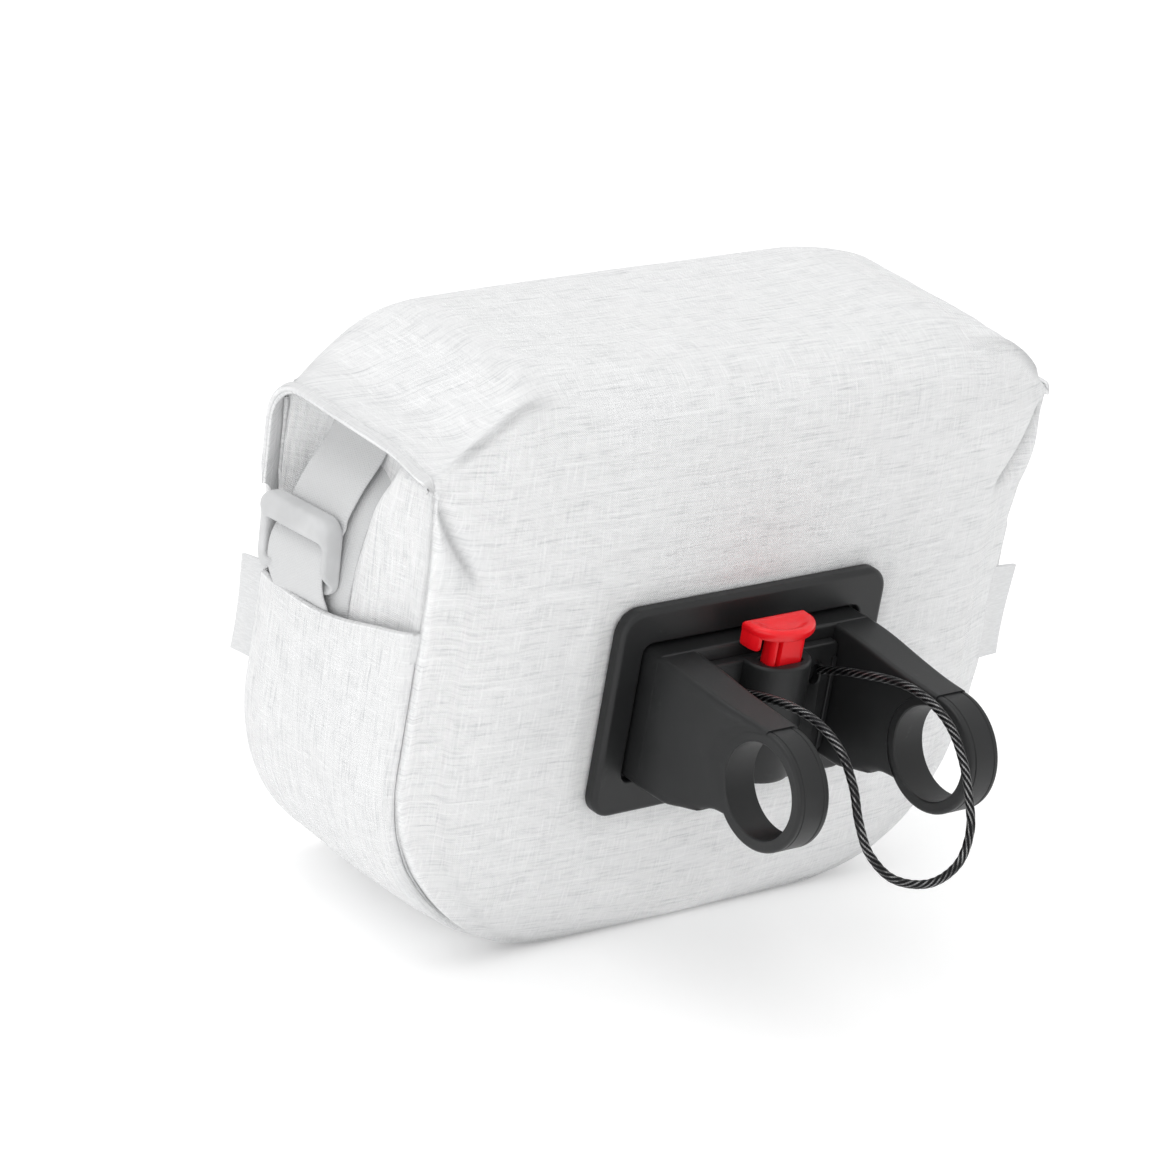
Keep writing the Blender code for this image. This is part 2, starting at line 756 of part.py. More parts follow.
def clamp_collar(name, side, look):
    """Ring round the bar, with its outer edges rounded off."""
    start, end = COLLAR_INSIDE, COLLAR_INSIDE + COLLAR_WIDTH
    profile = [
        (start, BAR_BORE_RADIUS), (start, COLLAR_RADIUS - COLLAR_EDGE), (start + COLLAR_EDGE, COLLAR_RADIUS),
        (end - COLLAR_EDGE, COLLAR_RADIUS), (end, COLLAR_RADIUS - COLLAR_EDGE), (end, BAR_BORE_RADIUS),
    ]
    steps = 40
    points = []
    faces = []
    count = len(profile)
    for step in range(steps):
        angle = 2 * pi * step / steps
        for x, radius in profile:
            points.append((side * x, BAR_Y + radius * cos(angle), BAR_HEIGHT + radius * sin(angle)))
        ahead = (step + 1) % steps * count
        for i in range(count):
            beside = (i + 1) % count
            faces.append((step * count + i, step * count + beside, ahead + beside, ahead + i))
    return mesh_object(name, points, faces, look)


def d_outline(half_width, back_y, depth, steps=12):
    """Straight at the back and round at the front."""
    pairs = [(half_width, back_y)]
    for step in range(steps + 1):
        angle = pi * step / steps
        pairs.append((half_width * cos(angle), back_y - depth * (0.25 + 0.75 * sin(angle))))
    pairs.append((-half_width, back_y))
    return pairs


def latch_tower(look):
    """Panel between the arms with a half-round column, hollow where the button goes in."""
    panel_back = PLATE_FACE_Y - BRACKET_STAND_OFF - GAP
    panel_front = panel_back - PANEL_THICKNESS
    panel = box(
        "latch_tower",
        (-PANEL_HALF_WIDTH, panel_front, PANEL_BOTTOM),
        (PANEL_HALF_WIDTH, panel_back, PANEL_TOP),
        look,
    )
    root = panel_front + PANEL_THICKNESS / 2
    outline = d_outline(TOWER_RADIUS, root, TOWER_RADIUS + PANEL_THICKNESS / 2)
    heights = [
        # height, size of the column's outline there
        (TOWER_BOTTOM, 0.8), (TOWER_BOTTOM + TOWER_FOOT, 1.0), (TOWER_TOP - TOWER_EDGE, 1.0),
        (TOWER_TOP, 0.93),
    ]
    column = loft(
        "tower_column",
        [[(x * size, root + (y - root) * size, z) for x, y in outline] for z, size in heights],
        look,
    )
    boolean(panel, column, "UNION")
    half_width = STEM_WIDTH / 2 + STEM_CLEARANCE
    half_depth = STEM_DEPTH / 2 + STEM_CLEARANCE
    floor = TOWER_TOP - STEM_IN_SOCKET - BUTTON_TRAVEL - SOCKET_ROOM
    socket = box(
        "socket",
        (-half_width, stem_middle() - half_depth, floor),
        (half_width, stem_middle() + half_depth, TOWER_TOP + CUT_PAST),
        look,
        radius=SOCKET_CORNER,
    )
    boolean(panel, socket, "DIFFERENCE")
    slot = rounded_rectangle(SLOT_WIDTH / 2, SLOT_LENGTH / 2, SLOT_CORNER)
    ends = [panel_back + CUT_PAST, panel_front - CUT_PAST]
    boolean(
        panel,
        loft("latch_slot", [[(SLOT_X + x, y, SLOT_Z + z) for x, z in slot] for y in ends], look),
        "DIFFERENCE",
    )
    return panel


def button_back():
    return PLATE_FACE_Y - BRACKET_STAND_OFF - 2 * GAP


def stem_middle():
    return PLATE_FACE_Y - BRACKET_STAND_OFF - PANEL_THICKNESS - STEM_FROM_PANEL - STEM_DEPTH / 2


def release_button(look):
    """Cap with a dished top, its stem in the tower and a short lobe at the left."""
    under = TOWER_TOP + BUTTON_TRAVEL + BUTTON_CLEARANCE
    top = under + BUTTON_CAP_HEIGHT
    back = button_back()
    outline = d_outline(BUTTON_WIDTH / 2, back, BUTTON_DEPTH)
    middle = back - BUTTON_DEPTH / 2

    def ring(size, height):
        return [(x * size, middle + (y - middle) * size, height) for x, y in outline]

    cap = loft(
        "release_button",
        [
            ring(0.95, under), ring(1.0, under + BUTTON_LOWER_EDGE), ring(1.0, top - BUTTON_UPPER_EDGE),
            ring(0.93, top), ring(0.8, top), ring(0.7, top - BUTTON_DISH),
        ],
        look,
        sharp=radians(50),
    )
    stem = box(
        "button_stem",
        (-STEM_WIDTH / 2, stem_middle() - STEM_DEPTH / 2, TOWER_TOP - STEM_IN_SOCKET),
        (STEM_WIDTH / 2, stem_middle() + STEM_DEPTH / 2, under + BUTTON_CAP_HEIGHT / 2),
        look,
        radius=STEM_CORNER,
    )
    boolean(cap, stem, "UNION")
    lobe_side = LOBE_SET_IN - BUTTON_WIDTH / 2
    lobe_back = back - LOBE_SET_BACK
    lobe = box(
        "button_lobe",
        (lobe_side, lobe_back - LOBE_DEPTH, under - LOBE_REACH),
        (lobe_side + LOBE_WIDTH, lobe_back, under + BUTTON_CAP_HEIGHT / 2),
        look,
        radius=LOBE_CORNER,
    )
    boolean(cap, lobe, "UNION")
    return cap


def stay_cable(look):
    """Steel cable out of the panel, over the bar, round behind the stem and back."""
    left = [(-x, y, z) for x, y, z in CABLE_ROUTE]
    points = smooth_route(left + CABLE_ROUTE[-2::-1], CABLE_STEP)
    line = bpy.data.curves.new("stay_cable", "CURVE")
    line.dimensions = "3D"
    line.bevel_depth = CABLE_RADIUS
    line.bevel_resolution = 2
    line.use_fill_caps = True
    spline = line.splines.new("POLY")
    spline.points.add(len(points) - 1)
    for target, point in zip(spline.points, points):
        target.co = (*point, 1.0)
    return add_object("stay_cable", line, look)


def main():
    clear_scene()
    cloth = material("bag_cloth", (0.78, 0.79, 0.80), 0.9)
    webbing = material("webbing", (0.55, 0.56, 0.57), 0.85)
    buckle_plastic = material("buckle_plastic", (0.50, 0.51, 0.52), 0.5)
    label_cloth = material("label_cloth", (0.58, 0.59, 0.60), 0.8)
    black_plastic = material("black_plastic", (0.03, 0.03, 0.032), 0.55)
    red_plastic = material("red_plastic", (0.75, 0.02, 0.02), 0.3)
    steel = material("braided_steel", (0.6, 0.6, 0.6), 0.35, 1.0)

    bag_body(cloth)
    lid(cloth)
    for name, side in (("left", -1), ("right", 1)):
        side_pocket(f"side_pocket_{name}", side, cloth)
        strap(f"strap_{name}", side, webbing)
        strap_tail(f"strap_tail_{name}", side, webbing)
        buckle(f"buckle_{name}", side, buckle_plastic)
        clamp_collar(f"clamp_collar_{name}", side, black_plastic)
    seam_y = HALF_DEPTH + GAP
    box(
        "label_left",
        (-HALF_WIDTH, seam_y, LABEL_LEFT_BOTTOM),
        (-HALF_WIDTH + LABEL_THICKNESS, seam_y + LABEL_OUT, LABEL_LEFT_BOTTOM + LABEL_LENGTH),
        label_cloth,
    )
    box(
        "label_right",
        (HALF_WIDTH + GAP, -HALF_DEPTH - LABEL_THICKNESS, LABEL_RIGHT_BOTTOM),
        (HALF_WIDTH + GAP + LABEL_OUT, -HALF_DEPTH, LABEL_RIGHT_BOTTOM + LABEL_LENGTH),
        label_cloth,
    )
    mount_plate(black_plastic)
    bracket(black_plastic)
    latch_tower(black_plastic)
    release_button(red_plastic)
    stay_cable(steel)


main()
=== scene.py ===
"""Looks of the handlebar bag and its quick-release bracket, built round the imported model."""

import math

import bmesh
import bpy
import numpy as np
from bpy.props import FloatProperty, FloatVectorProperty, PointerProperty
from mathutils import Matrix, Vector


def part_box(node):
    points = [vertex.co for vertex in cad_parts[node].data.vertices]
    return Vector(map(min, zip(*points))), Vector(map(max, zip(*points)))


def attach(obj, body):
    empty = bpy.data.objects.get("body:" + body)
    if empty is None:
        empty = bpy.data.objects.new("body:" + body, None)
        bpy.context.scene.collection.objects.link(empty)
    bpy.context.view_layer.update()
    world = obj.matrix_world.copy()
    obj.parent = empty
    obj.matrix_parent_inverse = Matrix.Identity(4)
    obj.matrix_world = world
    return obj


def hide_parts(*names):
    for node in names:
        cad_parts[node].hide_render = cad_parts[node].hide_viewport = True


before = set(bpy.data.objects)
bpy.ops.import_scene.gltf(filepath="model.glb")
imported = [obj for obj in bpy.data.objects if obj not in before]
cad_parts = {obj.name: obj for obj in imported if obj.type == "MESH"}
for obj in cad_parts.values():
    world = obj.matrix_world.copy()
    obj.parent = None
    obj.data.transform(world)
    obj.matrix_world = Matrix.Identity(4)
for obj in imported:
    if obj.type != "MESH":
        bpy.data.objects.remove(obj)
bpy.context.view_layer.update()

bl_info = {
    "name": "Handlebar Bag",
    "version": (1, 0, 0),
    "blender": (4, 5, 0),
    "location": "View3D > Sidebar > Handlebar Bag",
    "description": "Cloth handlebar bag with straps, buckles and a quick-release bracket",
    "category": "Add Mesh",
}

mm = 0.001
FULL_TURN = 2 * math.pi


# Settings


def length(name, description, millimetres):
    """A size that the user can change, given in millimetres."""
    return FloatProperty(
        name=name, description=description, default=millimetres * mm, unit="LENGTH", subtype="DISTANCE"
    )


def colour(name, description, red, green, blue):
    """A colour that the user can change, given as linear shares."""
    return FloatVectorProperty(
        name=name, description=description, default=(red, green, blue), subtype="COLOR", size=3, min=0, max=1
    )


class BagSettings(bpy.types.PropertyGroup):
    width: length("Width", "Distance between the two side seams", 258)
    depth: length("Depth", "Distance between the rear and front seams", 84)
    height: length("Height", "Height of the lid's flat top", 206)
    rim: length("Rim height", "Height of the side's top edge at the ears", 172)
    corner: length("Corner radius", "Radius of the round lower corners", 72)
    flare: length("Ear flare", "How far the seams lean out at the ears", 4)
    recess: length("Side recess", "How far the side sinks in behind the strap", 12)
    bulge: length("Side bulge", "How far the side bulges between its seams", 5)
    rear_bow: length("Rear bow", "How far the rear panel bows out", 11)
    front_bow: length("Front bow", "How far the front panel bows out", 4)
    lid_drop: length("Lid end drop", "How far the lid falls at its two ends", 29)
    edge: length("Top edge radius", "Rounding where the panel turns over the top", 25)
    lip: length("Lip height", "Height of the lid's front edge", 122)
    seam: length("Seam depth", "How far the cloth is drawn in along a seam", 1.9)
    cloth: colour("Cloth", "Light yarn of the heathered cloth", 0.86, 0.864, 0.868)
    slub: colour("Slub", "Grey yarn of the heathered cloth", 0.60, 0.61, 0.62)


class StrapSettings(bpy.types.PropertyGroup):
    width: length("Width", "Width of the webbing", 29)
    thickness: length("Thickness", "Thickness of the webbing", 1.6)
    tilt: FloatProperty(
        name="Tilt", description="Lean of the strap and buckle", default=math.radians(5),
        unit="ROTATION", subtype="ANGLE",
    )
    webbing: colour("Webbing", "Colour of the webbing", 0.61, 0.615, 0.62)
    buckle: colour("Buckle", "Colour of the moulded buckle", 0.58, 0.585, 0.59)
    label: colour("Label", "Colour of the folded labels", 0.66, 0.665, 0.67)


class BracketSettings(bpy.types.PropertyGroup):
    plate_corner: length("Plate corner", "Corner radius of the plate", 8.5)
    plate_bevel: length("Plate bevel", "Rounded edge of the plate", 1.8)
    arm_corner: length("Arm corner", "Rounding along the arms", 1.4)
    collar_edge: length("Collar edge", "Rounding of the collars' rims", 1.2)
    cable: length("Cable radius", "Radius of the stay cable", 1.5)
    black: colour("Black plastic", "Colour of the plate and bracket", 0.0115, 0.012, 0.0125)
    red: colour("Red plastic", "Colour of the release button", 0.82, 0.004, 0.010)
    steel: colour("Steel", "Colour of the cable's strands", 0.30, 0.30, 0.30)


class StudioSettings(bpy.types.PropertyGroup):
    floor: colour("Floor", "Colour of the studio floor", 0.93, 0.93, 0.93)
    key: FloatProperty(
        name="Key light", description="Power of the large soft light", default=9.6, unit="POWER",
    )
    fill: FloatProperty(
        name="Fill light", description="Power of the fill light", default=3.6, unit="POWER",
    )
    sky: FloatProperty(
        name="Sky", description="Strength of the even light all round", default=0.94, min=0,
    )


# Shader maths


class Socket:
    """A node's output socket, on which + - and * build Math nodes."""

    def __init__(self, tree, output):
        self.tree = tree
        self.output = output

    def maths(self, operation, *values):
        return self.tree.node("ShaderNodeMath", {"operation": operation}, values)

    def __add__(self, other):
        return self.maths("ADD", self, other)

    def __radd__(self, other):
        return self.maths("ADD", other, self)

    def __sub__(self, other):
        return self.maths("SUBTRACT", self, other)

    def __rsub__(self, other):
        return self.maths("SUBTRACT", other, self)

    def __mul__(self, other):
        return self.maths("MULTIPLY", self, other)

    def __rmul__(self, other):
        return self.maths("MULTIPLY", other, self)

    def sine(self):
        return self.maths("SINE", self)

    def absolute(self):
        return self.maths("ABSOLUTE", self)

    def at_least(self, other):
        return self.maths("MAXIMUM", self, other)

    def clamped(self):
        return self.maths("MINIMUM", self.maths("MAXIMUM", self, 0.0), 1.0)

    def rise(self, low, high):
        """Zero below low and one above high, with a smooth step between."""
        return self.tree.node(
            "ShaderNodeMapRange", {"interpolation_type": "SMOOTHSTEP"},
            {"Value": self, "From Min": low, "From Max": high},
        )


class Shader:
    """A material's node tree with its Principled shader."""

    def __init__(self, name, **constants):
        self.material = bpy.data.materials.new(name)
        self.material.use_nodes = True
        self.nodes = self.material.node_tree.nodes
        self.links = self.material.node_tree.links
        self.principled = self.nodes["Principled BSDF"]
        for socket, value in constants.items():
            self.principled.inputs[socket.replace("_", " ")].default_value = value

    def feed(self, socket, value):
        if isinstance(value, Socket):
            self.links.new(value.output, socket)
        elif value is not None:
            socket.default_value = value

    def node(self, kind, settings, values, output=0):
        """Makes a node of any type, sets it first, then gives its sockets values or links."""
        made = self.nodes.new(kind)
        for name, value in settings.items():
            setattr(made, name, value)
        pairs = values.items() if isinstance(values, dict) else enumerate(values)
        for key, value in pairs:
            self.feed(made.inputs[key], value)
        return Socket(self, made.outputs[output])

    def set(self, name, value):
        self.feed(self.principled.inputs[name], value)

    def place(self):
        """Object coordinates."""
        return self.node("ShaderNodeTexCoord", {}, {}, "Object")

    def across_and_along(self):
        """The two numbers of the piece's own UV map, in metres."""
        where = self.node("ShaderNodeTexCoord", {}, {}, "UV")
        apart = self.node("ShaderNodeSeparateXYZ", {}, [where])
        return apart, Socket(self, apart.output.node.outputs[1])

    def attribute(self, name):
        return self.node("ShaderNodeAttribute", {"attribute_name": name}, {}, "Fac")

    def pair(self, first, second, third=0.0):
        return self.node("ShaderNodeCombineXYZ", {}, [first, second, third])

    def noise(self, where, scale, detail=2.0, roughness=0.5):
        return self.node(
            "ShaderNodeTexNoise", {},
            {"Vector": where, "Scale": scale, "Detail": detail, "Roughness": roughness},
        )

    def blend(self, share, first, second):
        """A colour between two colours, by share."""
        made = self.nodes.new("ShaderNodeMix")
        made.data_type = "RGBA"
        self.feed(made.inputs[0], share)
        self.feed(made.inputs[6], first)
        self.feed(made.inputs[7], second)
        return Socket(self, made.outputs[2])

    def bump(self, height, distance, strength):
        return self.node("ShaderNodeBump", {}, {"Height": height, "Distance": distance, "Strength": strength})


def rgba(shade, factor=1.0):
    """A colour of the settings, made lighter or darker by a factor."""
    return (shade[0] * factor, shade[1] * factor, shade[2] * factor, 1.0)


def cloth_material(name="heathered_cloth"):
    """Plain-woven two-tone cloth: long slubs along the weft, shorter ones along the warp."""
    bag = bpy.context.scene.bag_settings
    shader = Shader(name, Roughness=0.88, Sheen_Weight=0.12, Sheen_Roughness=0.5, Specular_IOR_Level=0.28)
    u, v = shader.across_and_along()
    weft = shader.noise(shader.pair(u * 95, v * 1250), 1.0, 4.0, 0.68)
    weft_long = shader.noise(shader.pair(u * 44, v * 900, 4.0), 1.0, 3.0, 0.6)
    warp = shader.noise(shader.pair(u * 1250, v * 95, 7.0), 1.0, 4.0, 0.68)
    warp_long = shader.noise(shader.pair(u * 900, v * 52, 9.0), 1.0, 3.0, 0.6)
    patches = shader.noise(shader.pair(u * 90, v * 160, 2.0), 1.0, 3.0, 0.6)
    across = weft.rise(0.47, 0.66)
    long_streak = weft_long.rise(0.54, 0.66)
    upright = warp.rise(0.50, 0.70)
    long_upright = warp_long.rise(0.57, 0.68)
    grey = across * 0.42 + long_streak * 0.34 + upright * 0.22 + long_upright * 0.16
    grey = grey * (patches.rise(0.32, 0.62) * 0.8 + 0.35)
    base = shader.blend(grey.clamped(), rgba(bag.cloth), rgba(bag.slub))
    bright = weft_long.rise(0.34, 0.44) * warp.rise(0.36, 0.46)
    base = shader.blend((1 - bright) * 0.5, base, rgba(bag.cloth, 1.12))
    # Painted shade: the piece's crease attribute darkens the cloth towards a dark slub grey in seam grooves,
    # folds, recesses and under the lid.
    shade = shader.attribute("crease")
    base = shader.blend((shade * 0.5).clamped(), base, rgba(bag.slub, 0.45))
    shader.set("Base Color", base)
    threads = (u * (FULL_TURN / (0.75 * mm))).sine() * (v * (FULL_TURN / (0.75 * mm))).sine()
    height = threads * 0.5 + weft * 0.9 + weft_long * 0.9 + warp * 0.7 + warp_long * 0.6
    shader.set("Normal", shader.bump(height, 0.25 * mm, 0.9))
    shader.set("Roughness", 0.95 - across * 0.14)
    return shader.material


def webbing_material(name="ribbed_webbing"):
    """Flat webbing: fine ribs across in a slanting twill, with closer selvedges."""
    strap = bpy.context.scene.strap_settings
    shader = Shader(name, Roughness=0.7, Sheen_Weight=0.08, Specular_IOR_Level=0.35)
    u, v = shader.across_and_along()
    slant = (u * (FULL_TURN / (1.5 * mm)) + v * (FULL_TURN / (1.0 * mm))).sine()
    back = (u * (FULL_TURN / (1.5 * mm)) - v * (FULL_TURN / (1.0 * mm))).sine()
    cords = (u * (FULL_TURN / (1.2 * mm))).sine()
    fuzz = shader.noise(shader.pair(u * 900, v * 900), 1.0, 3.0, 0.6)
    edge = (u.absolute() * (2 / strap.width)).rise(0.86, 0.93)
    weave = (slant.at_least(back)) * (1 - edge) + (v * (FULL_TURN / (0.9 * mm))).sine() * edge
    base = shader.blend((weave * 0.5 + 0.5) * 0.6, rgba(strap.webbing, 0.95), rgba(strap.webbing, 1.06))
    base = shader.blend(fuzz.rise(0.5, 0.8) * 0.3, base, rgba(strap.webbing, 1.12))
    # Painted shade: the crease attribute darkens the webbing, as on the tail that lies behind the strap.
    base = shader.blend((shader.attribute("crease") * 0.6).clamped(), base, rgba(strap.webbing, 0.45))
    shader.set("Base Color", base)
    shader.set("Normal", shader.bump(weave * 0.8 + cords * 0.3 + fuzz * 0.5, 0.07 * mm, 0.7))
    shader.set("Roughness", 0.62 + fuzz * 0.2)
    return shader.material


def moulded_material(name, shade, roughness, grain, wear, coat=0.0):
    """Moulded plastic with a fine eroded grain, faint flow marks and lighter, smoother worn spots."""
    shader = Shader(name, Roughness=roughness, Coat_Weight=coat, Coat_Roughness=0.12, Specular_IOR_Level=0.38)
    where = shader.place()
    fine = shader.noise(where, 2600.0, 2.0, 0.6)
    soft = shader.noise(where, 46.0, 3.0, 0.55)
    scuff = shader.noise(where, 230.0, 4.0, 0.7)
    marks = scuff.rise(0.60, 0.78) * soft.rise(0.45, 0.65)
    base = shader.blend(soft.rise(0.3, 0.7), rgba(shade, 0.88), rgba(shade, 1.12))
    base = shader.blend(marks * wear, base, rgba((shade[0] + 0.03, shade[1] + 0.03, shade[2] + 0.03)))
    shader.set("Base Color", base)
    shader.set("Roughness", roughness + (fine - 0.5) * 0.16 + (soft - 0.5) * 0.14 - marks * 0.06)
    shader.set("Normal", shader.bump(fine, grain * mm, 0.7))
    return shader.material


def label_material(name="label_tape"):
    """Satin tape: fine weft ribs and a soft fuzz."""
    strap = bpy.context.scene.strap_settings
    shader = Shader(name, Roughness=0.55, Sheen_Weight=0.1)
    u, v = shader.across_and_along()
    ribs = (v * (FULL_TURN / (0.55 * mm))).sine()
    fuzz = shader.noise(shader.pair(u * 300, v * 1500), 1.0, 3.0, 0.6)
    base = shader.blend(fuzz.rise(0.35, 0.7) * 0.6, rgba(strap.label), rgba(strap.label, 1.16))
    shader.set("Base Color", base)
    shader.set("Normal", shader.bump(ribs * 0.5 + fuzz, 0.08 * mm, 0.7))
    shader.set("Roughness", 0.5 + fuzz * 0.15)
    return shader.material


def braid_material(name="cable_braid"):
    """Twisted steel strands, dark with age, with a painted glint: a light colour along their crests, dimmed
    where tarnished.
    """
    bracket = bpy.context.scene.bracket_settings
    shader = Shader(name, Roughness=0.3, Metallic=0.9, Specular_IOR_Level=0.3)
    u, v = shader.across_and_along()
    wires = (u * (FULL_TURN * 30) + v * (FULL_TURN / (2.2 * mm))).sine()
    strand = shader.attribute("crease")
    tarnish = shader.noise(shader.pair(u * 3, v * 90), 1.0, 3.0, 0.6)
    # Painted highlight: where the strands' crests (from the crease attribute) meet the wire ribs, the colour
    # turns to a light steel.
    crest = (1 - strand).rise(0.70, 0.95) * (wires * 0.5 + 0.5).rise(0.3, 0.8)
    glint = (crest * (1 - tarnish.rise(0.40, 0.60) * 0.8)).clamped()
    shader.set("Base Color", shader.blend(glint, (0.014, 0.014, 0.015, 1), rgba(bracket.steel, 2.0)))
    shader.set("Normal", shader.bump(wires, 0.02 * mm, 0.4))
    shader.set("Roughness", 0.26 + tarnish * 0.2)
    return shader.material


def floor_material(name="studio_floor"):
    """Pale matt paper, faintly cloudy, that gives off a little light of its own."""
    studio = bpy.context.scene.studio_settings
    shader = Shader(name, Roughness=0.75, Specular_IOR_Level=0.2, Emission_Strength=0.22)
    cloud = shader.noise(shader.place(), 1.4, 2.0, 0.5)
    paper = shader.blend(cloud * 0.5, rgba(studio.floor, 0.98), rgba(studio.floor, 1.02))
    shader.set("Base Color", paper)
    shader.set("Emission Color", paper)
    return shader.material


# Arrays and meshes


def steps(count, crowd=0.0):
    """Numbers from -1 to 1, crowded towards the two ends by the share that follows a sine."""
    t = np.linspace(-1, 1, count)
    return (1 - crowd) * t + crowd * np.sin(t * math.pi / 2)


def smooth_step(x, low, high):
    """Zero below low and one above high, with a cubic step between that is level at both ends."""
    t = np.clip((x - low) / (high - low), 0, 1)
    return t * t * (3 - 2 * t)


def hollow(distance, width):
    """A bell that is one at zero distance and fades over the width."""
    return np.exp(-((distance / width) ** 2))


def wander(x, y, seed=0.0):
    """Smooth noise from -1 to 1: hashed values on a unit grid, joined by smooth steps."""
    column, row = np.floor(x), np.floor(y)
    fx, fy = x - column, y - row
    fx, fy = fx * fx * (3 - 2 * fx), fy * fy * (3 - 2 * fy)

    def corner(i, j):
        value = np.sin((column + i) * 127.1 + (row + j) * 311.7 + seed * 74.7) * 43758.5453
        return 2 * (value - np.floor(value)) - 1

    low = corner(0, 0) * (1 - fx) + corner(1, 0) * fx
    high = corner(0, 1) * (1 - fx) + corner(1, 1) * fx
    return low * (1 - fy) + high * fy


def curve_through(x, knots, values):
    """A smooth line through a table's rows: cubic pieces with slopes that never let it overshoot."""
    knots, values = np.asarray(knots, float), np.asarray(values, float)
    rise = np.diff(values) / np.diff(knots)
    slope = np.zeros(len(knots))
    turn = rise[1:] * rise[:-1]
    slope[1:-1] = np.where(turn > 0, 2 * turn / (rise[1:] + rise[:-1] + 1e-12), 0)
    slope[0], slope[-1] = rise[0], rise[-1]
    i = np.clip(np.searchsorted(knots, x) - 1, 0, len(knots) - 2)
    gap = knots[i + 1] - knots[i]
    t = np.clip((x - knots[i]) / gap, 0, 1)
    start = values[i] * (1 + 2 * t) * (1 - t) ** 2 + slope[i] * gap * t * (1 - t) ** 2
    return start + values[i + 1] * t * t * (3 - 2 * t) + slope[i + 1] * gap * t * t * (t - 1)


def normals(grid):
    """Unit normals of a grid, from the cross product of its two directions."""
    down, across = np.gradient(grid, axis=0), np.gradient(grid, axis=1)
    out = np.cross(across, down)
    return out / np.maximum(np.linalg.norm(out, axis=2, keepdims=True), 1e-12)


def run_lengths(points):
    """Distance along a line of points, zero at its start."""
    gaps = np.linalg.norm(np.diff(points, axis=0), axis=1)
    return np.concatenate([[0.0], np.cumsum(gaps)])


def grid_corners(rows, columns, start):
    """The four corners of each quad of a grid."""
    first = start + (np.arange(rows - 1)[:, None] * columns + np.arange(columns - 1)[None, :]).ravel()
    return np.stack([first, first + 1, first + columns + 1, first + columns], axis=1)


SOFT_SLOTS = ("bag_cloth", "webbing", "buckle_plastic", "label_cloth")
WELD = 1e-6
SLIVER = 1e-8


def make_piece(name, patches, look, slot, body="bag", replaces=(), wall=0.0, sharp=35.0):
    """One mesh from patches, each a grid of points with its UV grid and its crease shade.

    They are joined where they touch. Cloth, webbing, buckles and labels follow the fuller right shoulder.
    """
    points, uvs, shades, quads = [], [], [], []
    start = 0
    for patch in patches:
        grid = patch["grid"]
        rows, columns = grid.shape[:2]
        corners = grid_corners(rows, columns, start)
        if patch.get("flip"):
            corners = corners[:, ::-1]
        points.append(grid.reshape(-1, 3))
        uvs.append(patch.get("uv", np.zeros((rows, columns, 2))).reshape(-1, 2))
        shades.append(np.broadcast_to(patch.get("shade", 0.0), (rows, columns)).ravel())
        quads.append(corners)
        start += rows * columns
    points, uvs = np.concatenate(points), np.concatenate(uvs)
    if slot in SOFT_SLOTS:
        points = filled_out(points)
    shades, quads = np.concatenate(shades), np.concatenate(quads)
    data = bpy.data.meshes.new(name)
    data.vertices.add(len(points))
    data.vertices.foreach_set("co", points.astype(np.float32).ravel())
    data.loops.add(quads.size)
    data.loops.foreach_set("vertex_index", quads.astype(np.int32).ravel())
    data.polygons.add(len(quads))
    data.polygons.foreach_set("loop_start", np.arange(0, quads.size, 4, dtype=np.int32))
    data.update(calc_edges=True)
    layer = data.uv_layers.new(name="cloth_run")
    layer.uv.foreach_set("vector", uvs[quads.ravel()].astype(np.float32).ravel())
    # The crease attribute carries painted shade for the cloth and webbing, and the mask of the cable's
    # painted glint.
    crease = data.attributes.new("crease", "FLOAT", "POINT")
    crease.data.foreach_set("value", shades.astype(np.float32))
    shape = bmesh.new()
    shape.from_mesh(data)
    bmesh.ops.remove_doubles(shape, verts=shape.verts, dist=WELD)
    bmesh.ops.dissolve_degenerate(shape, edges=shape.edges, dist=SLIVER)
    shape.to_mesh(data)
    shape.free()
    data.validate()
    data.shade_smooth()
    data.set_sharp_from_angle(angle=math.radians(sharp))
    data.materials.append(look)
    piece = bpy.data.objects.new(name, data)
    bpy.context.scene.collection.objects.link(piece)
    if wall:
        thick = piece.modifiers.new("wall", "SOLIDIFY")
        thick.thickness = wall
        thick.offset = -1.0
    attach(piece, body)
    if replaces:
        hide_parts(*replaces)
    return piece


def material_once(name, make):
    """The material of that name, made when it is first asked for."""
    return bpy.data.materials.get(name) or make()


def closed(rings):
    """Rings of equally many points, closed at both ends by drawing them in to their middles."""
    first = np.repeat(rings[:1, :-1].mean(axis=1, keepdims=True), rings.shape[1], axis=1)
    last = np.repeat(rings[-1:, :-1].mean(axis=1, keepdims=True), rings.shape[1], axis=1)
    return np.concatenate([first, rings, last])


def rounded_outline(half_width, half_height, radius, count=10):
    """A rectangle with round corners, as a closed anticlockwise line of points that starts at its right."""
    turn = np.linspace(0, math.pi / 2, count)
    parts = []
    for quarter, (side, end) in enumerate([(1, 1), (-1, 1), (-1, -1), (1, -1)]):
        angle = turn + quarter * math.pi / 2
        parts.append(np.stack([
            side * (half_width - radius) + radius * np.cos(angle),
            end * (half_height - radius) + radius * np.sin(angle),
        ], axis=1))
    line = np.concatenate(parts)
    return np.concatenate([line, line[:1]])


def resampled(line, count):
    """A closed line read at evenly spaced places, starting at its first point."""
    run = run_lengths(line)
    at = np.linspace(0, run[-1], count + 1)
    return np.stack([np.interp(at, run, line[:, 0]), np.interp(at, run, line[:, 1])], axis=1)


def standing(outline, y, middle=(0.0, 0.0)):
    """A flat outline stood up in the plane of the plate."""
    return np.stack([outline[:, 0] + middle[0], np.full(len(outline), y), outline[:, 1] + middle[1]], axis=1)


def lying(outline, z):
    """A flat outline laid level at a height."""
    return np.column_stack([outline, np.full(len(outline), z)])


# Form of the bag


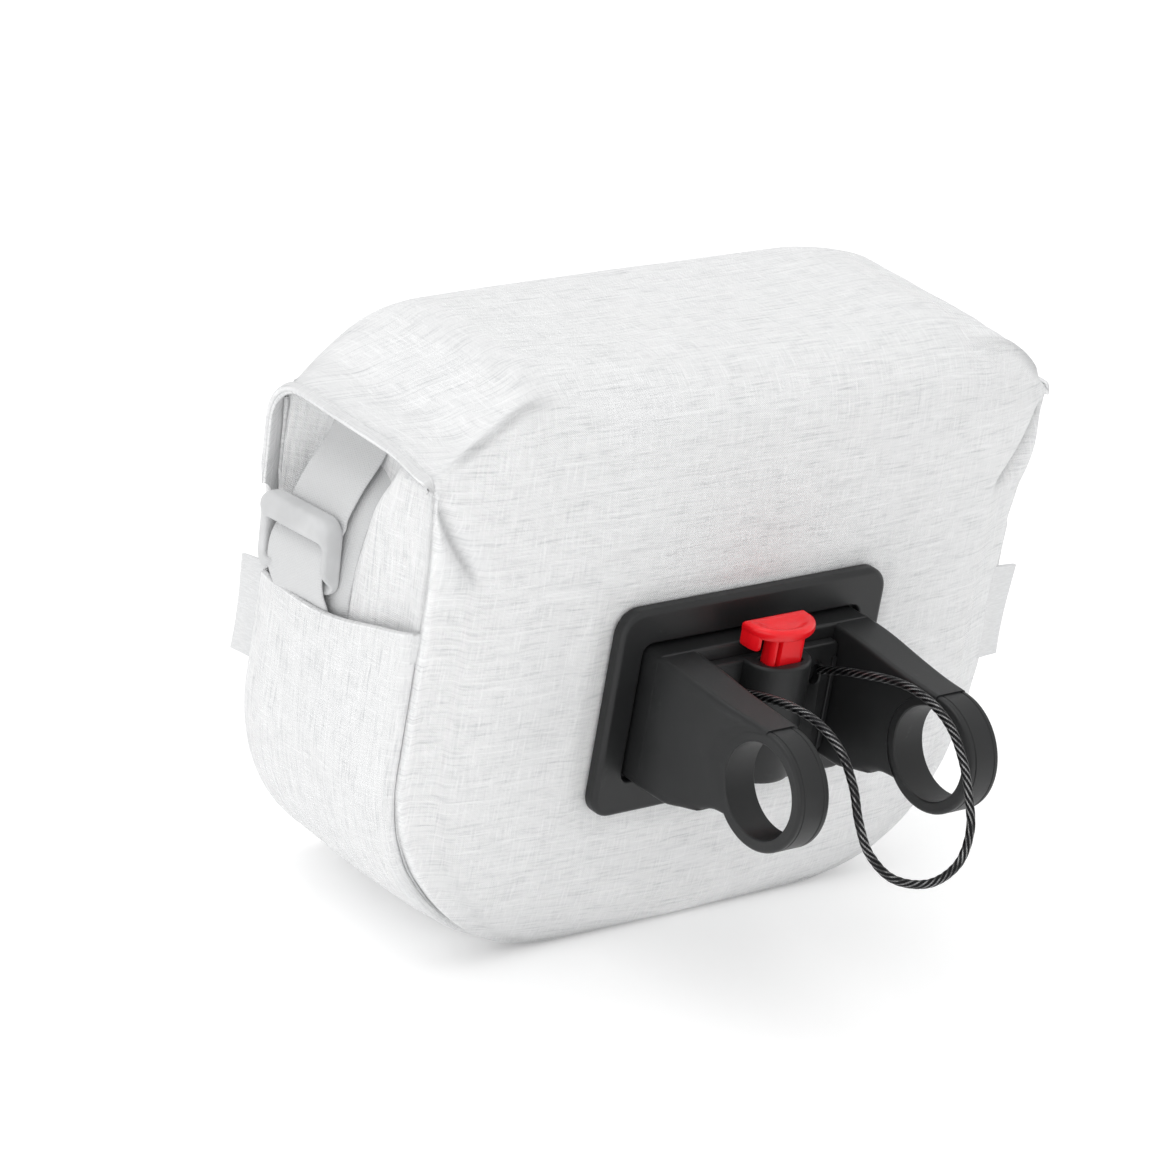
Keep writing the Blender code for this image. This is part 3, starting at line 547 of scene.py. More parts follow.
# By the share of the way up the straight side: how deep the side sinks in, and how far its seams flare out
SIDE_RISE = [0.0, 0.12, 0.24, 0.36, 0.48, 0.60, 0.74, 0.88, 1.0]
SIDE_RECESS = [0.0, 0.02, 0.12, 0.36, 0.56, 0.72, 0.86, 0.96, 1.0]
SIDE_FLARE = [0.0, 0.0, 0.0, 0.0, 0.03, 0.08, 0.25, 0.6, 1.0]
# The side's shoulder by height in metres: how far across the side it stands, from -1 at the rear to 1
SHOULDER_HEIGHT = [0.105, 0.113, 0.135, 0.157, 0.177, 0.20]
SHOULDER_ACROSS = [-0.06, -0.10, -0.21, -0.36, -0.57, -0.70]
# By the share of the lid's half width: how far its top has fallen, and the rounding of its two long edges
LID_ALONG = [0.0, 0.25, 0.48, 0.64, 0.71, 0.76, 0.80, 0.86, 0.93, 1.0]
LID_FALL = [0.0, 0.0, 0.0, 0.01, 0.04, 0.10, 0.20, 0.44, 0.74, 1.0]
LID_EDGE = [1.0, 1.0, 1.0, 0.96, 0.76, 0.52, 0.36, 0.24, 0.16, 0.12]
LID_FRONT_EDGE = [1.0, 1.0, 1.0, 1.0, 1.0, 0.98, 0.94, 0.82, 0.66, 0.52]
SEAM_LIFT = 1 * mm
PINCH_START = 0.60
STRAP_Y = 12 * mm
PLATE_Z = 89 * mm
LID_LAYER = 3.4 * mm
# Rows of the lid's grid: in each of its two round edges, on its level top and down its front
LID_EDGE_ROWS, LID_TOP_ROWS, LID_FRONT_ROWS = 16, 38, 43


def seam_line(run):
    """The side seam by distance from the bag's middle: along the bottom, round the corner and up the side."""
    bag = bpy.context.scene.bag_settings
    flat = bag.width / 2 - bag.corner
    arc = bag.corner * math.pi / 2
    angle = np.clip((run - flat) / arc, 0, 1) * math.pi / 2
    up = np.maximum(run - flat - arc, 0)
    side_height = bag.rim - SEAM_LIFT - bag.corner
    rise = np.clip(up / side_height, 0, 1)
    flare = bag.flare * curve_through(rise, SIDE_RISE, SIDE_FLARE)
    return {
        "x": np.minimum(run, flat) + bag.corner * np.sin(angle) + flare,
        "z": SEAM_LIFT + bag.corner * (1 - np.cos(angle)) + up,
        "out_x": np.sin(angle),
        "out_z": -np.cos(angle),
        "recess": curve_through(rise, SIDE_RISE, SIDE_RECESS),
        "rise": rise,
    }


def seam_length():
    """Length of the side seam from the bag's middle up to the rim."""
    bag = bpy.context.scene.bag_settings
    flat = bag.width / 2 - bag.corner
    return flat + bag.corner * math.pi / 2 + bag.rim - SEAM_LIFT - bag.corner


def panel_bow(x, z, rear):
    """How far a panel bows out: fading towards its seams, full over the plate."""
    bag = bpy.context.scene.bag_settings
    level = (z - SEAM_LIFT) / (bag.height - SEAM_LIFT)
    low = 1 - np.abs(2 * level - 0.9) ** 5
    high = 1 - 0.35 * (np.maximum(level - 0.45, 0) / 0.55) ** 4 if rear else np.ones_like(level)
    swell = np.maximum(np.where(level < 0.45, low, high), 0)
    across = np.minimum(np.abs(x) / (bag.width / 2), 1)
    bow, power = (bag.rear_bow, 3.5) if rear else (bag.front_bow, 3.0)
    return bow * swell * (1 - across**power)


def draw_in(distance, run, seed):
    """Cloth drawn in along a seam: a bell across the seam whose depth puckers along it."""
    bag = bpy.context.scene.bag_settings
    pucker = 1 + 0.22 * wander(run / (8 * mm), 0 * run, seed)
    return bag.seam * pucker * hollow(distance, 2.1 * mm)


def rear_rim(x):
    """Height of the rear panel's upper edge: the rim at the ears, and 9 mm more between them."""
    bag = bpy.context.scene.bag_settings
    across = np.minimum(np.abs(x) / (bag.width / 2), 1)
    return bag.rim + 9 * mm * (1 - smooth_step(across, 0.68, 1.02))


def lid_shape(along):
    """Height of the lid's top and the radii of its rear and front edges by share of the half width."""
    bag = bpy.context.scene.bag_settings
    share = np.clip(np.abs(along), 0, 1)
    top = bag.height - bag.lid_drop * curve_through(share, LID_ALONG, LID_FALL)
    rear = bag.edge * curve_through(share, LID_ALONG, LID_EDGE)
    front = bag.edge * curve_through(share, LID_ALONG, LID_FRONT_EDGE)
    return top, rear, front


def plate_gap(x, z, half_width, half_height):
    """Distance outside a rectangle about the plate's middle."""
    gap_x = np.maximum(np.abs(x) - half_width, 0)
    gap_z = np.maximum(np.abs(z - PLATE_Z) - half_height, 0)
    return np.hypot(gap_x, gap_z)


def plate_push(x, z):
    """One where the plate presses the rear panel flat, fading outside it."""
    return hollow(plate_gap(x, z, 56 * mm, 36 * mm), 9 * mm)


def ear_folds(x, z):
    """Soft folds that run from each ear down towards the plate: a furrow with a low ridge above it."""
    side = np.abs(x)
    start, end = np.array([131 * mm, 174 * mm]), np.array([112 * mm, 141 * mm])
    way = end - start
    reach = np.linalg.norm(way)
    way = way / reach
    along = ((side - start[0]) * way[0] + (z - start[1]) * way[1]) / reach
    bend = 1.6 * mm * np.sin(np.clip(along, 0, 1) * math.pi)
    across = (side - start[0]) * -way[1] + (z - start[1]) * way[0] - bend
    window = smooth_step(along, 0.02, 0.35) * (1 - smooth_step(along, 0.78, 1.12))
    depth = -3.6 * mm * hollow(across, 2.3 * mm) + 1.8 * mm * hollow(across - 6.5 * mm, 5 * mm)
    # The second value is painted shade along the furrow.
    return window * depth, window * hollow(across, 1.1 * mm)


def soft_waves(x, z, seed):
    """Unevenness of slack cloth: two sizes of smooth noise, drawn out along X."""
    broad = wander(x / (62 * mm), z / (34 * mm), seed)
    small = wander(x / (24 * mm), z / (13 * mm), seed + 3)
    return 0.75 * mm * broad + 0.28 * mm * small


def filled_out(grid):
    """Points pushed out at the bag's fuller right shoulder: a bell over height that grows along X."""
    x, z = grid[..., 0], grid[..., 2]
    swell = 3.6 * mm * smooth_step(x, 70 * mm, 130 * mm) * hollow(z - 160 * mm, 24 * mm)
    sag = 2.6 * mm * smooth_step(x, 70 * mm, 100 * mm) * smooth_step(z, 168 * mm, 190 * mm)
    return grid + np.stack([swell, 0 * swell, -sag], axis=-1)


def main_panel_grids():
    """Rear panel carried on over the top as the lid and down the front as its lip, as one run of cloth.

    Below the rim a row follows the side seam, so x is a share of the seam's x. Above it each column is a
    section across the lid: up, a quarter round, level, a quarter round and down.
    """
    bag = bpy.context.scene.bag_settings
    share = steps(221, 0.55)
    flat = bag.width / 2 - bag.corner
    lower = np.linspace(flat, 0.5 * seam_length(), 32, endpoint=False)
    run = np.concatenate([lower, np.linspace(0.5, 1, 56) * seam_length()])
    seam = {key: value[:, None] for key, value in seam_line(run).items()}
    x = seam["x"] * share
    z = seam["z"] + (rear_rim(share * seam["x"][-1]) - bag.rim) * seam["rise"] ** 2
    y = -bag.depth / 2 - panel_bow(x, z, True)
    edge = np.abs(seam["x"] - np.abs(x))
    edge = np.where(seam["rise"] > 0, edge, np.minimum(edge, np.hypot(edge, z - seam["z"])))
    along_seam = run[:, None] + 0 * x
    draw = draw_in(edge, along_seam * np.sign(share) + 3 * mm, 1.0)
    bottom_gap = np.abs(z - SEAM_LIFT)
    low_draw = draw_in(np.where(seam["out_z"] < -0.999, 0.0, 1.0), x, 2.0)
    draw = np.maximum(draw, low_draw * (run[:, None] <= flat))
    fold, fold_shade = ear_folds(x, z)
    inner = smooth_step(edge, 1 * mm, 16 * mm) * smooth_step(bottom_gap, 0, 14 * mm)
    ripple = 0.35 * mm * wander(along_seam / (7 * mm), edge / (14 * mm), 5.0) * hollow(edge - 5 * mm, 5 * mm)
    calm = 1 - plate_push(x, z)
    off_seam = smooth_step(edge, 0, 4 * mm)
    y -= (soft_waves(x, z, 11.0) + 0.6 * mm) * inner * calm + (ripple + fold) * off_seam
    y -= 1.0 * mm * hollow(plate_gap(x, z, 57 * mm, 37 * mm) - 6 * mm, 5 * mm) * calm
    drawn_x = x - np.sign(x) * draw * seam["out_x"] * (x != 0)
    rear = np.stack([drawn_x, y + draw, z - draw * seam["out_z"]], axis=2)
    # Painted shade along the seam's groove and in the ear folds' furrows.
    rear_shade = hollow(edge, 0.8 * mm) * 0.55 + fold_shade * 0.8

    x = share * seam["x"][-1]
    top, radius, front_radius = lid_shape(share)
    back, low = rear[-1, :, 1], rear[-1, :, 2]
    offset = (3.5 - 2.0 * smooth_step(np.abs(share), 0.85, 1.0)) * mm
    lip = bag.depth / 2 + panel_bow(x, np.full_like(x, bag.rim), False) + offset
    start = np.maximum(low + 0.4 * mm, top - radius)
    corner = np.linspace(0, math.pi / 2, LID_EDGE_ROWS)[:, None]
    up = np.linspace(0, 1, 4)[:, None]
    parts_y = [back + 0 * up, back + radius * (1 - np.cos(corner[1:]))]
    parts_z = [low + (start - low) * up, start + (top - start) * np.sin(corner[1:])]
    level = np.linspace(0, 1, LID_TOP_ROWS + 2)[1:-1, None]
    parts_y.append(back + radius + (lip - front_radius - back - radius) * level)
    parts_z.append(top + 0 * level)
    parts_y.append(lip - front_radius * (1 - np.sin(corner)))
    parts_z.append(top - front_radius * (1 - np.cos(corner)))
    down = np.linspace(0, 1, LID_FRONT_ROWS + 1)[1:, None]
    hem_height = bag.lip + 19 * mm * smooth_step(np.abs(share), 0.87, 1.0) ** 2
    parts_y.append(lip - 1.6 * mm * down * smooth_step(np.abs(share), 0.85, 1.0))
    parts_z.append(top - front_radius + (hem_height - top + front_radius) * down)
    y, z = np.concatenate(parts_y)[1:], np.concatenate(parts_z)[1:]
    x = np.broadcast_to(x, y.shape)
    droop = 3.2 * mm * smooth_step(np.abs(share), 0.86, 1.0) * (1 - smooth_step(y, -42 * mm, -16 * mm))
    z = z - droop * smooth_step(z, bag.rim, bag.rim + 5 * mm)
    lid = np.stack([x, y, z], axis=2)
    whole = np.concatenate([rear[-1:], lid])
    out = -normals(whole)[1:]
    from_join = np.cumsum(np.linalg.norm(np.diff(whole, axis=0), axis=2), axis=0)
    joined = smooth_step(from_join, 0, 22 * mm)
    half = np.abs(share)[None, :]
    end_gap = (1 - half) * bag.width / 2
    settle = smooth_step(end_gap, 0, 14 * mm)
    on_top = smooth_step(y, -40 * mm, -18 * mm) * (1 - smooth_step(y, 22 * mm, 44 * mm)) * (z > bag.rim)
    crown = 1.2 * mm * on_top * smooth_step(end_gap, 30 * mm, 90 * mm)
    waves = 0.65 * soft_waves(x, y * 1.3 + z, 23.0) * settle * joined
    pinch = smooth_step(half, PINCH_START, PINCH_START + 0.12)
    crease_gap = np.hypot(y - back - 0.35 * radius, z - top + 0.35 * radius)
    near_rear = y < 0
    crease = pinch * hollow(crease_gap, 1.8 * mm) * near_rear * (1 + 0.25 * wander(x / (6 * mm), 0 * x, 8.0))
    beside = pinch * hollow(crease_gap - 8 * mm, 5 * mm) * near_rear
    ripple = 0.4 * mm * wander(x / (10 * mm), y / (22 * mm), 9.0) * beside
    move = crown + waves - 2.4 * mm * crease + 0.7 * mm * beside + ripple
    lid = lid + out * move[:, :, None]
    # Painted shade in the crease where the lid's ends are pinched.
    shade = crease * 0.75
    grid = np.concatenate([rear, lid])
    shades = np.concatenate([rear_shade, shade])
    sections = np.linalg.norm(np.diff(grid, axis=0), axis=2)
    v = np.concatenate([np.zeros((1, grid.shape[1])), np.cumsum(sections, axis=0)])
    v += rear_rim(share * bag.width / 2) - v[len(run) - 1]
    uv = np.stack([grid[:, :, 0], v], axis=2)
    return grid, uv, shades


def main_panel():
    """The rear panel and the lid, with a wall of cloth on their inner side."""
    look = material_once("heathered_cloth", cloth_material)
    grid, uv, shades = main_panel_grids()
    return make_piece(
        "bag_panel_and_lid", [{"grid": grid, "uv": uv, "shade": shades}], look, "bag_cloth",
        replaces=("lid", "bag_body"), wall=1.4 * mm, sharp=80,
    )


def side_surface(run, across):
    """The side between its two seams.

    It bulges out between the seams; higher up it sinks in behind the strap, with a shoulder at the rear seam.
    Under the bag it lies flat.
    """
    bag = bpy.context.scene.bag_settings
    seam = seam_line(np.abs(run))
    side = np.where(run < 0, -1.0, 1.0)
    under = np.maximum(-seam["out_z"], 0)
    flat = under * 0.85
    reach = np.maximum(np.abs(across) - flat, 0) / (1 - flat)
    depth = bag.bulge + (SEAM_LIFT - bag.bulge) * under
    bulge = depth * (1 - reach**3)
    edge_of_furrow = curve_through(seam["z"], SHOULDER_HEIGHT, SHOULDER_ACROSS)
    furrow = smooth_step(across, edge_of_furrow - 0.06, edge_of_furrow + 0.24)
    furrow = furrow * (1 - smooth_step(across, 0.72, 1.0))
    roll = hollow(across - edge_of_furrow + 0.24, 0.24) * 2.4 * mm
    seat = 3.5 * mm * (1 - across**12) * (1 - smooth_step(under, 0.5, 0.95))
    tuck = (1.9 - 0.7 * across) * mm * smooth_step(seam["rise"], 0.82, 1.0)
    out = bulge - seat - seam["recess"] * (bag.recess * furrow - roll) - tuck
    edge = (1 - np.abs(across)) * bag.depth / 2
    draw = draw_in(edge, run + 3 * mm, 1.0)
    calm = smooth_step(edge, 0, 10 * mm) * smooth_step(seam["z"], 20 * mm, 70 * mm)
    waves = wander(across * 2.6 + 5, run / (46 * mm), 31.0) * 0.8 * mm
    waves = waves + wander(across * 7, run / (30 * mm), 33.0) * 0.35 * mm
    ripple = 0.45 * mm * wander(run / (7 * mm), across * 3, 35.0) * hollow(edge - 5 * mm, 4 * mm)
    out = out + waves * calm + ripple * seam["rise"] * smooth_step(edge, 0, 4 * mm) - draw
    y = across * bag.depth / 2 - np.sign(across) * draw
    x = side * (seam["x"] + out * seam["out_x"])
    z = seam["z"] + out * seam["out_z"]
    # The fourth value is painted shade along the two seams, weaker near the front seam higher up.
    sheltered = smooth_step(across, 0.5, 0.9) * smooth_step(seam["rise"], 0.5, 0.7)
    return x, y, z, hollow(edge, 0.8 * mm) * (0.6 - 0.6 * sheltered)


def lid_underside(x):
    """Height of the lid's inner side by distance from the bag's middle."""
    bag = bpy.context.scene.bag_settings
    share = np.clip(np.abs(x) / (bag.width / 2 + bag.flare), 0, 1)
    top = lid_shape(share)[0]
    return top - LID_LAYER


def side_strip():
    """The strip that runs down one side, under the bag and up the other, closed under the lid's ends."""
    look = material_once("heathered_cloth", cloth_material)
    reach = seam_length()
    rise = np.linspace(0, 1, 150)
    run = np.concatenate([-reach * rise[::-1], reach * rise[1:]])[:, None]
    across = steps(73, 0.5)[None, :]
    run, across = np.broadcast_arrays(run, across)
    x, y, z, shade = side_surface(run, across)
    grid = np.stack([x, y, z], axis=2)
    uv = np.stack([run, across * 0.042 + 0.37], axis=2)
    patches = [{"grid": grid, "uv": uv, "shade": shade}]
    for side, row in ((-1, 0), (1, -1)):
        rim = grid[row]
        up = np.linspace(0, 1, 10)[:, None]
        inward = rim[:, 0] - side * 1.5 * mm * up
        height = rim[:, 2] + np.maximum(lid_underside(inward) - rim[:, 2], 0) * up
        cover = np.stack([inward, np.broadcast_to(rim[:, 1], inward.shape), height], axis=2)
        cover_uv = np.stack([np.abs(run[row]) + height - rim[:, 2], 0 * height + uv[row, :, 1]], axis=2)
        # Painted shade that grows towards the lid's underside.
        patches.append({"grid": cover, "uv": cover_uv, "shade": up * 0.2 + 0 * height, "flip": side < 0})
    return make_piece(
        "bag_side_strip", patches, look, "bag_cloth", replaces=("bag_body",), wall=1.2 * mm, sharp=80,
    )


def front_panel():
    """Front panel between the two sides, bowed out a little and drawn in along its seams."""
    bag = bpy.context.scene.bag_settings
    look = material_once("heathered_cloth", cloth_material)
    share = steps(121, 0.5)
    flat = bag.width / 2 - bag.corner
    run = np.linspace(flat, seam_length(), 76)
    seam = {key: value[:, None] for key, value in seam_line(run).items()}
    x = seam["x"] * share
    z = seam["z"] + 0 * x
    y = bag.depth / 2 + panel_bow(x, z, False)
    edge = np.abs(seam["x"] - np.abs(x))
    draw = draw_in(edge, run[:, None] * np.sign(share) + 3 * mm, 1.0)
    low_draw = draw_in(np.where(seam["out_z"] < -0.999, 0.0, 1.0), x, 2.0)
    draw = np.maximum(draw, low_draw * (run[:, None] <= flat))
    inner = smooth_step(edge, 1 * mm, 16 * mm) * smooth_step(z, SEAM_LIFT, 14 * mm)
    under_lip = smooth_step(z, bag.lip - 22 * mm, bag.lip - 4 * mm)
    y += soft_waves(x, z, 41.0) * inner * (1 - under_lip) - under_lip * 1.0 * mm * inner
    grid = np.stack([x - np.sign(x) * draw * seam["out_x"], y - draw, z - draw * seam["out_z"]], axis=2)
    uv = np.stack([-x + 0.3, z + 0.4], axis=2)
    # Painted shade along the seams.
    shade = hollow(edge, 0.8 * mm) * 0.8
    patches = [{"grid": grid, "uv": uv, "shade": shade, "flip": True}]
    return make_piece(
        "bag_front_panel", patches, look, "bag_cloth", replaces=("bag_body",), wall=1.2 * mm, sharp=80,
    )


def band_along(line, out, sideways, width, thickness):
    """A folded hem: a flat loop, round at both edges, carried along a line and tapered at its two ends."""
    angle = np.linspace(0, FULL_TURN, 25)
    flat = np.sign(np.cos(angle)) * np.abs(np.cos(angle)) ** 0.45
    proud = np.sign(np.sin(angle)) * np.abs(np.sin(angle)) ** 0.8
    run = run_lengths(line)
    taper = smooth_step(np.minimum(run, run[-1] - run), -2 * mm, 7 * mm)
    wide, thick = width * taper / 2, thickness * taper / 2
    loop = line[:, None] + sideways[:, None] * (flat[None, :] * wide[:, None])[:, :, None]
    loop = loop + out[:, None] * (proud[None, :] * thick[:, None])[:, :, None]
    uv = np.stack(np.broadcast_arrays(run[:, None], flat[None, :] * width[:, None]), axis=2)
    return {"grid": closed(loop), "uv": np.concatenate([uv[:1], uv, uv[-1:]])}


def hem_bands():
    """Folded hems of the lid: over both ends, slimmer where they run down the front, and along the lip."""
    look = material_once("heathered_cloth", cloth_material)
    grid = main_panel_grids()[0]
    out = -normals(grid)
    rim_row = len(grid) - (2 * LID_EDGE_ROWS - 1) - LID_TOP_ROWS - LID_FRONT_ROWS
    pieces = []
    for name, column, step in (("left", 0, 1), ("right", -1, -1)):
        rows = slice(rim_row, None)
        line = grid[rows, column]
        inward = grid[rows, column + 5 * step] - line
        inward /= np.linalg.norm(inward, axis=1, keepdims=True)
        proud = out[rows, column + 3 * step]
        front = smooth_step(line[:, 1], 30 * mm, 44 * mm)
        width = (3.8 - 1.4 * front) * mm
        line = line + inward * (width[:, None] * 0.42) - proud * 0.8 * mm
        band = band_along(line, proud, inward, width, (2.3 - 0.5 * front) * mm)
        pieces.append(make_piece(
            f"lid_hem_{name}", [{**band, "flip": name == "right"}], look, "bag_cloth",
            replaces=("lid",), sharp=70,
        ))
    line = grid[-1, 2:-2]
    upward = grid[-5, 2:-2] - line
    upward /= np.linalg.norm(upward, axis=1, keepdims=True)
    proud = out[-3, 2:-2]
    line = line + upward * 3.5 * mm - proud * 0.5 * mm
    band = band_along(line, proud, upward, np.full(len(line), 8.5 * mm), np.full(len(line), 2.4 * mm))
    pieces.append(make_piece("lid_hem_front", [band], look, "bag_cloth", replaces=("lid",), sharp=70))
    return pieces


MOUTH_REAR, MOUTH_FRONT = 122.7, 109.4


def pocket_mouth(across):
    """Height of the pocket's mouth, falling in a straight line from the rear seam to the front one."""
    return (MOUTH_REAR + (MOUTH_FRONT - MOUTH_REAR) * (across + 1) / 2) * mm


def pocket_dip(across):
    """How much lower the cloth of the mouth hangs beside the strap."""
    return 2.4 * mm * hollow(across + 0.15, 0.45)


def side_pocket(name, side):
    """Cloth over the lower side, following the side's bulge, with a folded hem along its slanted mouth."""
    bag = bpy.context.scene.bag_settings
    look = material_once("heathered_cloth", cloth_material)
    flat = bag.width / 2 - bag.corner
    foot = flat + bag.corner * math.radians(8)
    across = steps(61, 0.4)[None, :] * 0.998
    straight = flat + bag.corner * math.pi / 2
    mouth_run = straight + pocket_mouth(across) - pocket_dip(across) - SEAM_LIFT - bag.corner
    t = np.linspace(0, 1, 84)[:, None]
    run = foot + (mouth_run - foot) * t
    run, across = np.broadcast_arrays(run, across)
    seam = seam_line(run)
    under = np.maximum(-seam["out_z"], 0)
    reach = np.abs(across)
    out = (bag.bulge + (SEAM_LIFT - bag.bulge) * under) * (1 - reach**3)
    edge = (1 - reach) * bag.depth / 2
    mouth = hollow(mouth_run - run, 16 * mm)
    strap = hollow(across - 0.2, 0.5)
    waves = wander(across * 2.2 + 9, run / (50 * mm), 51.0) * 0.8 * mm
    waves = waves + wander(across * 6, run / (22 * mm), 53.0) * 0.3 * mm
    out = out + waves * smooth_step(edge, 0, 9 * mm) * smooth_step(t, 0.1, 0.4) + 1.2 * mm * mouth * strap
    out = out - draw_in(edge, run * side + 3 * mm, 1.0) * 0.97
    lift = 1.3 * mm * smooth_step(t, 0.0, 0.55) * (1 - reach**8) + 0.15 * mm
    x = side * (np.minimum(seam["x"], bag.width / 2) + (out + lift) * seam["out_x"])
    z = seam["z"] + (out + lift) * seam["out_z"]
    y = across * bag.depth / 2 - np.sign(across) * draw_in(edge, run * side + 3 * mm, 1.0)
    grid = np.stack([x, y, z], axis=2)
    hem_line = hollow(mouth_run - run - 8 * mm, 0.6 * mm)
    grid[:, :, 0] -= side * 0.15 * mm * hem_line
    uv = np.stack([run * side + 1.0, across * 0.042 + 0.9], axis=2)
    turn = np.linspace(0, math.pi, 9)[1:, None]
    lip = np.stack([
        grid[-1, :, 0] - side * 1.1 * mm * (1 - np.cos(turn)),
        np.broadcast_to(grid[-1, :, 1], (8, grid.shape[1])),
        grid[-1, :, 2] + 1.1 * mm * np.sin(turn),
    ], axis=2)
    inside = lip[-1:] + np.array([0, 0, -1.0]) * np.linspace(0, 10 * mm, 6)[1:, None, None]
    rest = np.concatenate([lip, inside])
    grid = np.concatenate([grid, rest])
    onward = np.linspace(0, 13 * mm, len(rest))[:, None, None] * np.array([1.0, 0])
    uv = np.concatenate([uv, np.repeat(uv[-1:], len(rest), axis=0) + onward])
    # Painted shade: darker inside the pocket's mouth, and a faint line along the hem's stitching groove.
    shade = np.zeros(grid.shape[:2])
    shade[-6:] = 0.4
    shade[: len(run)] += hem_line * 0.10
    patches = [{"grid": grid, "uv": uv, "shade": shade, "flip": side < 0}]
    return make_piece(
        f"pocket_cloth_{name}", patches, look, "bag_cloth",
        replaces=(f"side_pocket_{name}",), wall=0.8 * mm, sharp=80,
    )


# Straps, buckles and labels


BUCKLE_BACK = 133.4 * mm
BUCKLE_FACE = 140 * mm
BUCKLE_HALF_WIDTH = 18.4 * mm
BUCKLE_HALF_HEIGHT = 13.5 * mm
BUCKLE_LIFT = 4.9 * mm
WINDOW_DROP = 2.1 * mm
# Where the strap leaves the lid, as a share of this distance from the bag's middle
LID_REACH = 132 * mm
TAIL_BEHIND = 6.5 * mm
TAIL_SINK = 1.0 * mm
# Distance out and height of the strap's tail, from under the lid down into the pocket, in millimetres
TAIL_ROUTE = np.array([
    (115.6, 176), (116.4, 170), (117.8, 165.5), (120.1, 161), (123.4, 156.5), (126.9, 151),
    (129.7, 144), (131.4, 136), (132.4, 128), (132.9, 120), (131.9, 112), (130.8, 104),
]) * mm


def buckle_middle():
    """Height of the buckle's middle, a little above the pocket's mouth."""
    bag = bpy.context.scene.bag_settings
    return pocket_mouth(STRAP_Y / (bag.depth / 2)) + BUCKLE_LIFT + BUCKLE_HALF_HEIGHT


def route_through(knots, spacing):
    """Evenly spaced points on a curve through a route, with each knot's slope that of its two neighbours."""
    knots = np.asarray(knots, float)
    padded = np.concatenate([2 * knots[:1] - knots[1:2], knots, 2 * knots[-1:] - knots[-2:-1]])
    before, start, end, after = padded[:-3], padded[1:-2], padded[2:-1], padded[3:]
    t = np.linspace(0, 1, 24, endpoint=False)[None, :, None]
    before, start, end, after = (a[:, None] for a in (before, start, end, after))
    line = (2 * start + (end - before) * t + (2 * before - 5 * start + 4 * end - after) * t**2
            + (3 * start - before - 3 * end + after) * t**3) / 2
    line = np.concatenate([line.reshape(-1, knots.shape[1]), knots[-1:]])
    run = run_lengths(line)
    at = np.linspace(0, run[-1], max(8, int(run[-1] / spacing)))
    return np.stack([np.interp(at, run, line[:, i]) for i in range(knots.shape[1])], axis=1)


def ribbon_grid(path, side, width, thickness, middle_y=STRAP_Y, sink=0.0):
    """Webbing along a path of distance out and height: a flat loop with round edges, tilted with the buckle.

    Its rear half can sink towards the bag, by the square of the distance from its middle.
    """
    strap = bpy.context.scene.strap_settings
    ahead = np.gradient(path, axis=0)
    ahead /= np.linalg.norm(ahead, axis=1, keepdims=True)
    out = np.stack([-ahead[:, 1], 0 * ahead[:, 0], ahead[:, 0]], axis=1)
    wide = np.array([0, math.cos(strap.tilt), -math.sin(strap.tilt)])
    angle = np.linspace(0, FULL_TURN, 49)
    flat = np.sign(np.cos(angle)) * np.abs(np.cos(angle)) ** 0.35
    proud = np.sign(np.sin(angle)) * np.abs(np.sin(angle)) ** 0.55
    middle = np.stack([path[:, 0], np.full(len(path), middle_y), path[:, 1]], axis=1)
    loop = middle[:, None] + wide * (flat * width / 2)[None, :, None]
    lean = sink * np.clip(-flat, 0, 1) ** 2
    loop = loop + out[:, None] * (proud * thickness / 2 - lean)[None, :, None]
    loop[:, :, 0] *= side
    run = run_lengths(path)
    uv = np.stack(np.broadcast_arrays((flat * width / 2)[None, :], run[:, None]), axis=2)
    return closed(loop), np.concatenate([uv[:1], uv, uv[-1:]])


